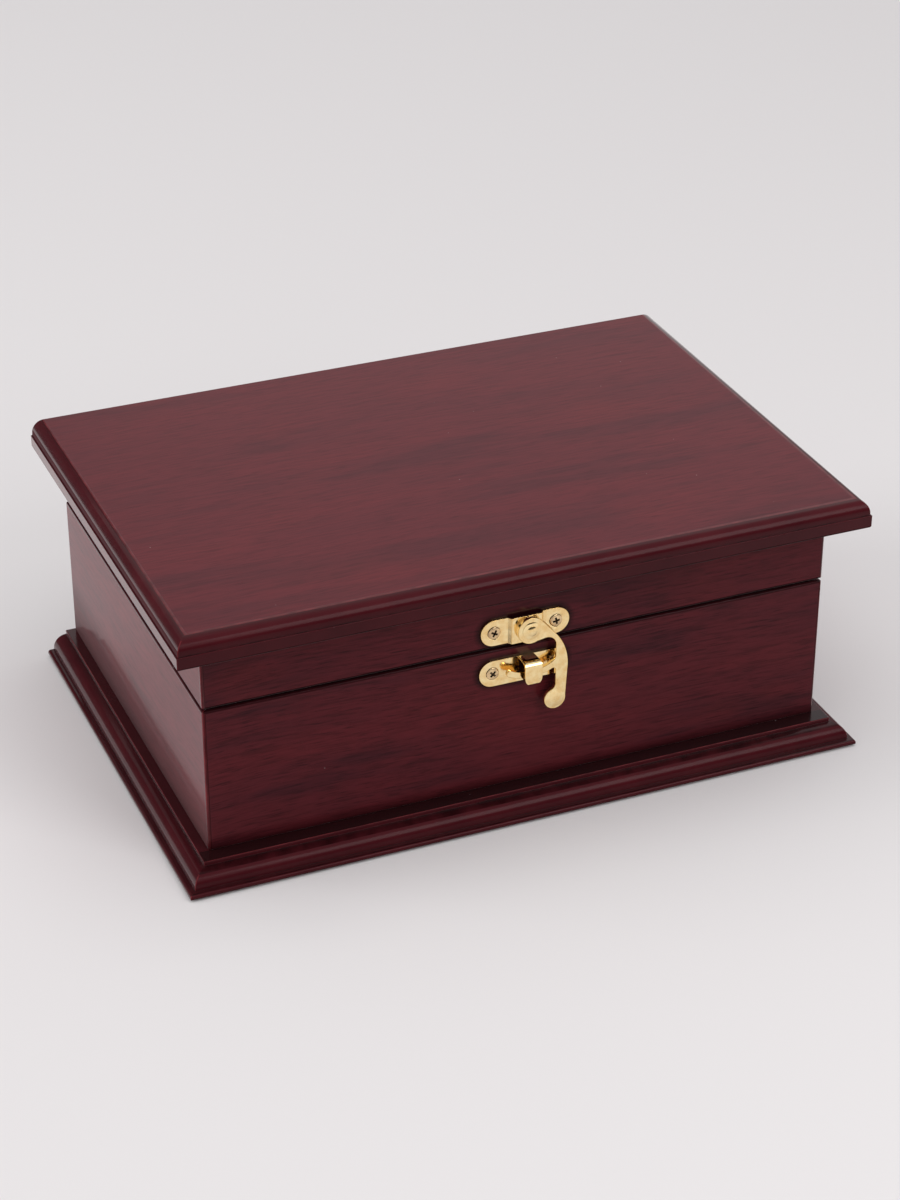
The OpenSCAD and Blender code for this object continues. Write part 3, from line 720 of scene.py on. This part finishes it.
def settle(bm, name, material, nodes):
    """Makes the bmesh a piece that stands for the nodes, with even shading over its flat faces."""
    mesh = to_mesh(bm, name)
    smooth(mesh, SHARP)
    mesh.materials.append(material)
    draft = to_scene(bpy.data.objects.new(name + "_draft", mesh))
    weighted = draft.modifiers.new("weighted", "WEIGHTED_NORMAL")
    weighted.keep_sharp = True
    final = modified_mesh(draft)
    final.name = name
    return register(bpy.data.objects.new(name, final), nodes)


def register(piece, nodes):
    """Puts the piece in the scene, on the nodes' body and in their place, and hides the nodes' own solids."""
    to_scene(piece)
    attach(piece, BODY_OF[nodes[0]])
    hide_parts(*nodes)
    return piece


print("arrises sharper than", round(math.degrees(SHARP)), "degrees are softened")

# %% [markdown]
# ## Boards and walls
# The lid board shows its figure only on the flat top, and the walls show it on their outer faces.
# The plinth is moulded all over and stained. The side walls' grain runs from front to back. Marks
# on the faces say where the stain is rubbed, where light and shade are painted, and where the lacquer
# hardly reaches.

# %% Marks on the wood
# How much painted light the stain gets on upright faces of each board and of the walls, and on faces that
# look left.
UPRIGHT_PAINTED_LIGHT = {"lid_board": 0.4, "plinth_board": 0.7}
WALL_PAINTED_LIGHT = 0.5
LEFT_PAINTED_LIGHT = 1.0
LOOKS_LEFT = -0.6
CROWN_FALL = 4
LEDGE_HEIGHT = 4.9 * MM
LEDGE_REACH = 0.35 * MM
FILLET_REACH = 2.2 * MM
TOP_LINE = math.sin(math.radians(80))
ROUND_ROOT = math.sin(math.radians(58))
LEVEL = 0.9999
NEARLY_LEVEL = 0.98
SLOPE_TOP = 0.5
SLOPE_UNDER = 0.1
UPRIGHT_WITHIN = 0.2
CORNER_ASIDE = 0.25
LEFT_FACE = -0.9
# Shares of painted shade on the walls' top rounds, the lid's end ledges and the plinth round's root.
WALL_TOP_SHADE = 0.8
END_LEDGE_SHADE = 0.2
ROOT_SHADE = 0.9
ACROSS = ("case_left", "case_right", "rim_left", "rim_right")
BOARDS = ("lid_board", "plinth_board")
OUTWARD = {"front": Vector((0, -1, 0)), "back": Vector((0, 1, 0)),
           "left": Vector((-1, 0, 0)), "right": Vector((1, 0, 0)), "board": Vector((0, 0, 1))}


def mark_crown_painted_light(bm, upright):
    """Marks how far each corner of the mesh lies on the crown of a round, as painted light: half way up, it
    is fullest.

    An upright face counts as the given share of a crown, and one that looks left as more, which paints light
    on that side.
    """
    bm.normal_update()
    layer = bm.verts.layers.float.new("crown")
    for vert in bm.verts:
        slope = math.asin(min(max(vert.normal.z, -1.0), 1.0))
        full = math.sin(2 * max(slope, 0.0))
        share = LEFT_PAINTED_LIGHT if vert.normal.x < LOOKS_LEFT else upright
        vert[layer] = max(full, share * math.cos(max(slope, 0.0)) ** CROWN_FALL)


def rub_corners(bm):
    """Marks the upright rounded corners of a wall as rubbed through, and paints shade on its top's round."""
    arris = bm.faces.layers.float["arris"]
    crease = bm.faces.layers.float["crease"]
    for face in bm.faces:
        aside = min(abs(face.normal.x), abs(face.normal.y))
        if abs(face.normal.z) < UPRIGHT_WITHIN and aside > CORNER_ASIDE:
            face[arris] = 1.0
        if SLOPE_TOP < face.normal.z < NEARLY_LEVEL:
            face[crease] = WALL_TOP_SHADE


def dull_undersides(bm):
    """Marks the rounds that look down, which the lacquer's spray barely reaches, as dull, and paints shade on
    them.
    """
    dull = bm.faces.layers.float.new("dull")
    crease = bm.faces.layers.float["crease"]
    for face in bm.faces:
        if -NEARLY_LEVEL < face.normal.z < -SLOPE_UNDER:
            face[dull] = 1.0
            face[crease] = 1.0


def mark_lid_edge(bm, ledge_level):
    """Rubs a thin line where the lid's flat top turns over, and leaves the ledge under the round plain.

    At the two ends the upright over the ledge is end grain, which drinks the lacquer and stays dull, with a
    little painted shade. Below the ledge, the band that looks left is marked like a rubbed arris, as painted
    light.
    """
    arris = bm.faces.layers.float["arris"]
    dull = bm.faces.layers.float["dull"]
    crease = bm.faces.layers.float["crease"]
    for face in bm.faces:
        if TOP_LINE < face.normal.z < LEVEL:
            face[arris] = 1.0
        rise = face.calc_center_median().z - ledge_level
        sideways = abs(face.normal.x) > abs(face.normal.y)
        if abs(rise) < LEDGE_REACH:
            face[arris] = 0.0
            if sideways:
                face[crease] = END_LEDGE_SHADE
        if -LEDGE_REACH < rise < FILLET_REACH and sideways:
            face[dull] = 1.0
        # Painted light: the lid's band that looks left is marked like a rubbed arris, so it is drawn lighter.
        if rise < -LEDGE_REACH and face.normal.x < LEFT_FACE:
            face[arris] = 1.0


def mark_round_root_shade(bm):
    """Paints shade on the root of the plinth's round, where it meets the step, on the front and back."""
    crease = bm.faces.layers.float["crease"]
    for face in bm.faces:
        if ROUND_ROOT < face.normal.z < LEVEL and abs(face.normal.y) > abs(face.normal.x):
            face[crease] = ROOT_SHADE


print("marks: veneer, crown, arris, crease, dull")

# %% Wooden pieces
WOOD_SOFT = 0.25 * MM
SAME_FACE = 0.1 * MM


def wooden(node):
    """One board or wall with soft arrises and its veneered face marked. The plinth has no veneer."""
    low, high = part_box(node)
    out = OUTWARD[node.split("_")[1]]
    face_at = max(low.dot(out), high.dot(out))
    bm = soften(merged_copy(node), WOOD_SOFT, 3)
    hold_in_box(bm, node)
    veneer = bm.faces.layers.float.new("veneer")
    for face in bm.faces:
        outermost = abs(face.calc_center_median().dot(out) - face_at) < SAME_FACE
        flat = face.normal.dot(out) > LEVEL
        face[veneer] = 1.0 if flat and outermost and node != "plinth_board" else 0.0
    mark_crown_painted_light(bm, UPRIGHT_PAINTED_LIGHT.get(node, WALL_PAINTED_LIGHT))
    dull_undersides(bm)
    if node == "lid_board":
        mark_lid_edge(bm, low.z + LEDGE_HEIGHT)
    elif node == "plinth_board":
        mark_round_root_shade(bm)
    else:
        rub_corners(bm)
    material = lit_end_wood if node in ACROSS else lit_board_wood if node in BOARDS else shaded_wall_wood
    return settle(bm, node + "_lacquered", material, [node])


wood_pieces = [wooden(node) for node, slot in SLOT_OF.items() if slot == "rosewood"]
print(len(wood_pieces), "wooden pieces,", sum(len(p.data.polygons) for p in wood_pieces), "faces")

# %% [markdown]
# ## Felt sheets
# Each felt is cut to its place and glued in. It is a closed sheet: a fine grid whose upper side
# rolls down at the cut edge and wavers by a tenth of a millimetre, which is what catches light on
# real felt. One function lays it along whichever side of the box it lines.

# %% Felt pieces
CELL = 3.0 * MM
FEWEST_CELLS = 4
ROLL = 0.6 * MM
ROLL_STEP = 0.3 * ROLL
CUT_HEIGHT = 0.45
WAVER = 0.10 * MM
WAVER_LENGTH = 14 * MM
NAP_SHARP = math.radians(60)


def felt_sheet(node, face, rests_on):
    """A felt sheet in the node's box. face is the direction that its upper side looks."""
    low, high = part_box(node)
    axis = max(range(3), key=lambda i: abs(face[i]))
    across, along = [i for i in range(3) if i != axis]
    thick = (high - low)[axis]
    width, length = (high - low)[across], (high - low)[along]
    back_at = low[axis] if face[axis] > 0 else high[axis]

    def place(u, v, lift):
        point = Vector((0, 0, 0))
        point[across] = low[across] + u
        point[along] = low[along] + v
        point[axis] = back_at + lift * (1 if face[axis] > 0 else -1)
        return point

    def stations(size):
        count = max(FEWEST_CELLS, round(size / CELL))
        inner = [ROLL + (size - 2 * ROLL) * i / count for i in range(count + 1)]
        return [0.0, ROLL_STEP] + inner + [size - ROLL_STEP, size]

    def lift_at(u, v):
        edge = min(u, v, width - u, length - v, ROLL) / ROLL
        rolled = CUT_HEIGHT + (1 - CUT_HEIGHT) * math.sqrt(1 - (1 - edge) ** 2)
        waver = noise.noise(Vector((u, v, axis)) / WAVER_LENGTH) * WAVER * edge
        return (thick - WAVER) * rolled + waver

    bm = bmesh.new()
    us, vs = stations(width), stations(length)
    top = [[bm.verts.new(place(u, v, lift_at(u, v))) for v in vs] for u in us]
    back = [[bm.verts.new(place(u, v, 0)) for v in vs] for u in us]
    for i in range(len(us) - 1):
        for j in range(len(vs) - 1):
            bm.faces.new((top[i][j], top[i + 1][j], top[i + 1][j + 1], top[i][j + 1]))
            bm.faces.new((back[i][j], back[i][j + 1], back[i + 1][j + 1], back[i + 1][j]))
    for row_top, row_back in ((top[0], back[0]), (top[-1], back[-1]),
                              ([r[0] for r in top], [r[0] for r in back]),
                              ([r[-1] for r in top], [r[-1] for r in back])):
        for j in range(len(row_top) - 1):
            bm.faces.new((row_top[j], row_top[j + 1], row_back[j + 1], row_back[j]))
    bmesh.ops.recalc_face_normals(bm, faces=bm.faces)
    mesh = to_mesh(bm, node + "_nap")
    smooth(mesh, NAP_SHARP)
    mesh.materials.append(black_felt)
    sheet = register(bpy.data.objects.new(node + "_nap", mesh), [node])
    return sheet


FELTS = [
    ("floor_lining", (0, 0, 1), "plinth_board_lacquered"),
    ("lining_front", (0, 1, 0), "case_front_lacquered"),
    ("lining_back", (0, -1, 0), "case_back_lacquered"),
    ("lining_left", (1, 0, 0), "case_left_lacquered"),
    ("lining_right", (-1, 0, 0), "case_right_lacquered"),
    ("lid_lining", (0, 0, -1), "lid_board_lacquered"),
    ("base_felt", (0, 0, -1), "plinth_board_lacquered"),
]
felts = [felt_sheet(*row) for row in FELTS]
print(len(felts), "felt sheets")

# %% [markdown]
# ## Brass plates, hook and hinges
# These are stamped or turned metal with edges rolled over by polishing. They are softened copies of
# their solids. The hook's round tail is a little domed, so that a fingertip finds it, and the rivet's
# head has a button where it was hammered: a low cap stands on each face.

# %% Brass pieces
PLATE_SOFT = 0.13 * MM
HINGE_SOFT = 0.12 * MM
BRASS_SOFT = {"swing_hook": 0.16 * MM, "keeper_plate": 0.06 * MM}
SHORTEST = {"swing_hook": 0.10 * MM, "keeper_plate": 0.09 * MM}
TAIL_FROM_RIGHT = 4.7 * MM
TAIL_FROM_FOOT = 4.0 * MM
TAIL_CAP = (3.4 * MM, 0.45 * MM)
RIVET_SINK = 0.1 * MM
RIVET_CAP = (1.9 * MM, 0.45 * MM)
CAP_FOOT = Vector((0, 0.2 * MM, 0))


def cap(bm, centre, radius, height, rings=8, spokes=48):
    """A closed low dome that looks towards -Y, with its foot sunk a little into the face."""
    ball = (radius ** 2 + height ** 2) / (2 * height)
    lines = []
    for i in range(rings):
        r = radius * (1 - i / rings)
        out = math.sqrt(ball ** 2 - r ** 2) - (ball - height)
        lines.append([bm.verts.new(centre + Vector((x, -out, z))) for x, z in circle(r, spokes)])
    foot = [bm.verts.new(v.co + CAP_FOOT) for v in lines[0]]
    tip = bm.verts.new(centre + Vector((0, -height, 0)))
    base = bm.verts.new(centre + CAP_FOOT)
    skin(bm, [[base], foot] + lines + [[tip]])


def metal(node, material, width, segments=3):
    """A softened copy of a metal solid, with a cap on the hook's tail and on the rivet."""
    bm = soften(merged_copy(node, SHORTEST.get(node, MERGE)), width, segments)
    low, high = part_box(node)
    if node == "swing_hook":
        cap(bm, Vector((high.x - TAIL_FROM_RIGHT, low.y, low.z + TAIL_FROM_FOOT)), *TAIL_CAP)
    if node == "hook_rivet":
        cap(bm, Vector(((low.x + high.x) / 2, low.y + RIVET_SINK, (low.z + high.z) / 2)), *RIVET_CAP)
    return settle(bm, node + "_" + material.name.split("_")[0], material, [node])


metals = [metal(node, polished_brass, BRASS_SOFT.get(node, PLATE_SOFT))
          for node, slot in SLOT_OF.items() if slot == "polished_brass"]
metals += [metal(node, satin_brass, HINGE_SOFT, segments=2)
           for node, slot in SLOT_OF.items() if slot == "satin_brass"]
print(len(metals), "brass pieces,", sum(len(p.data.polygons) for p in metals), "faces")

# %% [markdown]
# ## Screws
# Twelve screws of two kinds hold the metal. Each kind is turned once as a profile spun round its
# axis, then its cross recess is cut with a tapered cutter. A geometry node tree sets one on each
# point, gives each its own turn, because no two screws are driven home alike, and makes them real.

# %% One screw of each kind
SPOKES = 48
THREAD_PITCH = 0.9 * MM
CREST_AT = 0.25 * THREAD_PITCH
CORE_AT = 0.75 * THREAD_PITCH
POINT_LENGTH = 2.5
CREST_SHARE = 0.98
CORE_SHARE = 0.74
ARM_HALF_WIDTH = 0.44 * MM
CUTTER_OVER = 0.2 * MM
CUTTER_DEPTH = 1.1 * MM
CUTTER_TAPER = 0.45
RECESS_FROM = 0.2 * MM
RECESS_TO = 1.0 * MM
SCREW_SHARP = math.radians(35)


def spin_profile(profile, name):
    """A closed solid of revolution round Z from (radius, height) pairs, axis point to axis point."""
    bm = bmesh.new()
    skin(bm, [[bm.verts.new((x, y, height)) for x, y in circle(radius, SPOKES if radius else 1)]
              for radius, height in profile])
    return to_mesh(bm, name)


def cross_cutter(arm, top):
    """A tapered plus-shaped cutter that reaches down from top."""
    bm = bmesh.new()
    half = ARM_HALF_WIDTH
    quarter = [Vector((arm, -half, 0)), Vector((arm, half, 0)), Vector((half, half, 0))]
    outline = [Matrix.Rotation(k * math.pi / 2, 3, "Z") @ p for k in range(4) for p in quarter]
    upper = [bm.verts.new(p + Vector((0, 0, top))) for p in outline]
    lower = [bm.verts.new(p * CUTTER_TAPER + Vector((0, 0, top - CUTTER_DEPTH))) for p in outline]
    bm.faces.new(upper)
    bm.faces.new(lower[::-1])
    for k in range(len(outline)):
        n = (k + 1) % len(outline)
        bm.faces.new((upper[k], lower[k], lower[n], upper[n]))
    bmesh.ops.recalc_face_normals(bm, faces=bm.faces)
    return bpy.data.objects.new("cutter", to_mesh(bm, "cutter"))


def thread(start, end, core, crest):
    """Profile points of a ridged shank from start down to end, thinning to a point."""
    points = []
    height = start
    while height - THREAD_PITCH > end:
        left = min(1.0, (height - end) / (POINT_LENGTH * crest))
        points.append((crest * left, height - CREST_AT))
        points.append((core * left, height - CORE_AT))
        height -= THREAD_PITCH
    return points


def make_screw(name, head, shank_r, length, recess_arm):
    """A screw along -Z: head is its profile from the top's middle outwards and down to the shank."""
    top, shank_top = head[0][1], head[-1][1]
    tip = shank_top - length
    profile = head + thread(shank_top, tip, CORE_SHARE * shank_r, CREST_SHARE * shank_r) + [(0, tip)]
    screw = to_scene(bpy.data.objects.new(name, spin_profile(profile, name)))
    cutter = to_scene(cross_cutter(recess_arm, top + CUTTER_OVER))
    cut = screw.modifiers.new("recess", "BOOLEAN")
    cut.operation = "DIFFERENCE"
    cut.solver = "EXACT"
    cut.object = cutter
    mesh = modified_mesh(screw)
    bpy.data.objects.remove(cutter)
    recess = mesh.attributes.new("recess", "FLOAT", "FACE")
    for face in mesh.polygons:
        within = math.hypot(face.center.x, face.center.y) < recess_arm
        sunk = RECESS_FROM < top - face.center.z < RECESS_TO
        recess.data[face.index].value = 1.0 if within and sunk else 0.0
    smooth(mesh, SCREW_SHARP)
    return to_scene(bpy.data.objects.new(name, mesh))


def dome(radius, edge, height, steps=8):
    """Profile of a low dome from its top's middle to its rim."""
    ball = (radius ** 2 + height ** 2) / (2 * height)
    outs = [radius * i / steps for i in range(steps + 1)]
    return [(out, edge + math.sqrt(ball ** 2 - out ** 2) - (ball - height)) for out in outs]


print("thread", round(THREAD_PITCH / MM, 2), "mm from crest to crest")

# %% [markdown]
# The catch screws are oval-headed and sit in the dished ears of the plates, a little below the rim
# of the dish. The hinge screws are flat-headed and lie flush in the leaves.

# %% Both kinds
SHANK_RADIUS = 1.05 * MM
catch_head = dome(2.25 * MM, 0.85 * MM, 0.3 * MM)
catch_head += [(2.3 * MM, 0.80 * MM), (1.25 * MM, 0.26 * MM), (1.03 * MM, 0.24 * MM)]
leaf_head = [(0, 0), (1.98 * MM, 0), (2.08 * MM, -0.06 * MM), (1.04 * MM, -1.05 * MM)]
catch_screw = make_screw("catch_screw", catch_head, SHANK_RADIUS, length=7.3 * MM, recess_arm=1.55 * MM)
leaf_screw = make_screw("leaf_screw", leaf_head, SHANK_RADIUS, length=6.3 * MM, recess_arm=1.25 * MM)
print("screw faces", len(catch_screw.data.polygons), len(leaf_screw.data.polygons))

# %% Geometry nodes: a screw on each point


def make_screw_tree():
    """Points in, screws out: each turned about its own axis by a random angle, made real, painted."""
    tree = bpy.data.node_groups.new("screws_on_points", "GeometryNodeTree")
    for label, kind in (("Geometry", "Geometry"), ("Screw", "Object"), ("Direction", "Rotation"),
                        ("Seed", "Int"), ("Finish", "Material")):
        tree.interface.new_socket(label, in_out="INPUT", socket_type="NodeSocket" + kind)
    tree.interface.new_socket("Geometry", in_out="OUTPUT", socket_type="NodeSocketGeometry")
    given, out = tree.nodes.new("NodeGroupInput"), tree.nodes.new("NodeGroupOutput")
    shape = add(tree, "GeometryNodeObjectInfo", {"Object": given.outputs["Screw"]})
    points = add(tree, "GeometryNodeMeshToPoints", {"Mesh": given.outputs["Geometry"]})
    spin = add(tree, "FunctionNodeRandomValue", {
        2: 0.0, 3: math.pi / 2, "Seed": given.outputs["Seed"],
    }, data_type="FLOAT")
    about = add(tree, "ShaderNodeCombineXYZ", {"Z": spin.outputs[1]})
    placed = add(tree, "GeometryNodeInstanceOnPoints", {
        "Points": points.outputs[0], "Instance": shape.outputs["Geometry"],
        "Rotation": given.outputs["Direction"],
    })
    turned = add(tree, "GeometryNodeRotateInstances", {
        "Instances": placed.outputs[0], "Rotation": about.outputs[0],
    })
    real = add(tree, "GeometryNodeRealizeInstances", {"Geometry": turned.outputs[0]})
    painted = add(tree, "GeometryNodeSetMaterial", {
        "Geometry": real.outputs[0], "Material": given.outputs["Finish"],
    })
    feed(tree, out, {0: painted.outputs[0]})
    return tree


screw_tree = make_screw_tree()
print("tree", screw_tree.name, len(screw_tree.nodes), "nodes")

# %% [markdown]
# The points are read from the frame: each screw solid of a node is one island of its mesh, and the
# middle of the island's head end is where the new screw's own origin goes.

# %% Screws in place


def islands(node):
    """Lowest and highest corner of each separate solid of the node."""
    bm = bmesh.new()
    bm.from_mesh(frame["nodes"][node].data)
    bmesh.ops.remove_doubles(bm, verts=bm.verts, dist=MERGE)
    left = set(bm.verts)
    found = []
    while left:
        queue = [left.pop()]
        part = []
        while queue:
            vert = queue.pop()
            part.append(vert.co.copy())
            for edge in vert.link_edges:
                other = edge.other_vert(vert)
                if other in left:
                    left.remove(other)
                    queue.append(other)
        found.append((Vector([min(p[i] for p in part) for i in range(3)]),
                      Vector([max(p[i] for p in part) for i in range(3)])))
    bm.free()
    return sorted(found, key=lambda box: box[0].x)


def screws(node, screw, direction, seat, seed):
    """The node's screws, with seat giving each one's origin from its solid's box."""
    points = bpy.data.meshes.new(node + "_points")
    points.from_pydata([seat(low, high) for low, high in islands(node)], [], [])
    holder = to_scene(bpy.data.objects.new(node + "_points", points))
    modifier = holder.modifiers.new("screws", "NODES")
    modifier.node_group = screw_tree
    sockets = {s.name: s.identifier for s in screw_tree.interface.items_tree if s.in_out == "INPUT"}
    for label, value in (("Screw", screw), ("Direction", direction), ("Seed", seed), ("Finish", screw_brass)):
        modifier[sockets[label]] = value
    mesh = modified_mesh(holder)
    mesh.name = node + "_driven"
    return register(bpy.data.objects.new(node + "_driven", mesh), [node])


FACING_FRONT = Euler((math.pi / 2, 0, 0))
FACING_UP = Euler((0, 0, 0))
FACING_DOWN = Euler((math.pi, 0, 0))
front_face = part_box("case_front")[0].y


def seat_in_front(low, high):
    """On the front wall's face, in the middle of the solid's box."""
    return ((low.x + high.x) / 2, front_face, (low.z + high.z) / 2)


def seat_up(low, high):
    """In the middle of the top of the solid's box."""
    return ((low.x + high.x) / 2, (low.y + high.y) / 2, high.z)


def seat_down(low, high):
    """In the middle of the underside of the solid's box."""
    return ((low.x + high.x) / 2, (low.y + high.y) / 2, low.z)


screw_sets = [
    screws("hook_plate_screws", catch_screw, FACING_FRONT, seat_in_front, 4),
    screws("keeper_screws", catch_screw, FACING_FRONT, seat_in_front, 9),
    screws("hinge_screws_lower", leaf_screw, FACING_UP, seat_up, 2),
    screws("hinge_screws_upper", leaf_screw, FACING_DOWN, seat_down, 5),
]
for spare in (catch_screw, leaf_screw):
    bpy.data.objects.remove(spare)
print(len(screw_sets), "sets of screws,", sum(len(s.data.polygons) for s in screw_sets), "faces")

# %% [markdown]
# ## Floor and light
# The box stands on a wide pale card, which fades far out into a world of nearly the same tone, so
# no horizon shows. A small lamp at the front right draws the sheen along each round, a very broad
# one overhead and one to the left light the rest, and the pale world fills the shadows. Two dark
# cards are seen only in reflections, as the dark end of a studio is: without them polished metal
# and the creases under the rounds have nothing dark to mirror.

# %% Floor
FLOOR_SIZE = 6.0
FLOOR_FADE = [(0.40, 1.0), (0.75, 0.0)]
CARD = {"Base Color": (0.80, 0.777, 0.783, 1), "Roughness": 0.9, "Specular IOR Level": 0.1}


def make_floor():
    """A wide pale sheet that the box stands on. Far out it fades, so that no horizon shows."""
    bpy.ops.mesh.primitive_plane_add(size=FLOOR_SIZE)
    floor = bpy.context.object
    floor.name = "floor"
    card, tree, shader = new_material("pale_card")
    out = add(tree, "ShaderNodeVectorMath", {0: object_place(tree)}, operation="LENGTH").outputs["Value"]
    share = maths(tree, "DIVIDE", out, FLOOR_SIZE / 2)
    feed(tree, shader, {**CARD, "Alpha": ramp(tree, share, FLOOR_FADE)})
    floor.data.materials.append(card)
    return floor


print("floor", round(make_floor().dimensions.x, 1), "m wide")

# %% World, lamps and dark cards
AIM = Vector((0, 0, 0.05))


def face_box(thing, direction, distance):
    """Places a lamp or a card in the given direction from the box and turns it towards the box."""
    out = Vector(direction).normalized()
    thing.location = AIM + out * distance
    thing.rotation_euler = out.to_track_quat("Z", "Y").to_euler()


def softbox(name, direction, distance, size, power, mirrored):
    """A square lamp that looks at the box from a direction, seen in reflections only if mirrored."""
    data = bpy.data.lights.new(name, "AREA")
    data.shape = "SQUARE"
    data.size = size
    data.energy = power
    lamp = to_scene(bpy.data.objects.new(name, data))
    face_box(lamp, direction, distance)
    lamp.visible_glossy = mirrored
    return lamp


def make_world(colour, seen, lit):
    """A plain pale world: seen is its strength where it shows or mirrors, lit where it lights."""
    world = bpy.data.worlds.new("studio")
    world.use_nodes = True
    tree = world.node_tree
    path = add(tree, "ShaderNodeLightPath").outputs
    direct = maths(tree, "MAXIMUM", path["Is Camera Ray"], path["Is Glossy Ray"])
    shown = maths(tree, "MAXIMUM", direct, path["Is Transmission Ray"])
    strength = maths(tree, "MULTIPLY_ADD", shown, seen - lit, lit)
    feed(tree, tree.nodes["Background"], {"Color": (*colour, 1), "Strength": strength})
    bpy.context.scene.world = world


def make_flag(name, direction, distance, size):
    """A dark card, seen only in reflections."""
    bpy.ops.mesh.primitive_plane_add(size=1.0)
    flag = bpy.context.object
    flag.name = name
    flag.scale = (*size, 1.0)
    face_box(flag, direction, distance)
    flag.data.materials.append(dark_card)
    for kind in ("camera", "diffuse", "shadow", "transmission"):
        setattr(flag, "visible_" + kind, False)


dark_card, tree, shader = new_material("dark_card")
feed(tree, shader, {"Base Color": (0.02, 0.02, 0.02, 1)})
make_world((1.0, 0.985, 0.99), seen=0.77, lit=0.42)
lamps = [
    softbox("lamp_front_right", (0.36, -0.764, 0.56), 1.3, 0.55, 3.8, mirrored=True),
    softbox("lamp_overhead", (-0.03, -0.10, 1.0), 4.5, 5.0, 96.0, mirrored=False),
    softbox("lamp_left", (-0.86, 0.22, 0.52), 2.2, 1.4, 13.5, mirrored=False),
]
make_flag("flag_front", (0.0, -1.0, 0.12), 1.7, (5.0, 0.70))
make_flag("flag_back_left", (-0.375, 0.927, 0.364), 1.6, (1.6, 1.3))
bpy.context.scene.view_settings.view_transform = "Standard"
print(len(lamps), "lamps,", round(sum(lamp.data.energy for lamp in lamps), 1), "W")
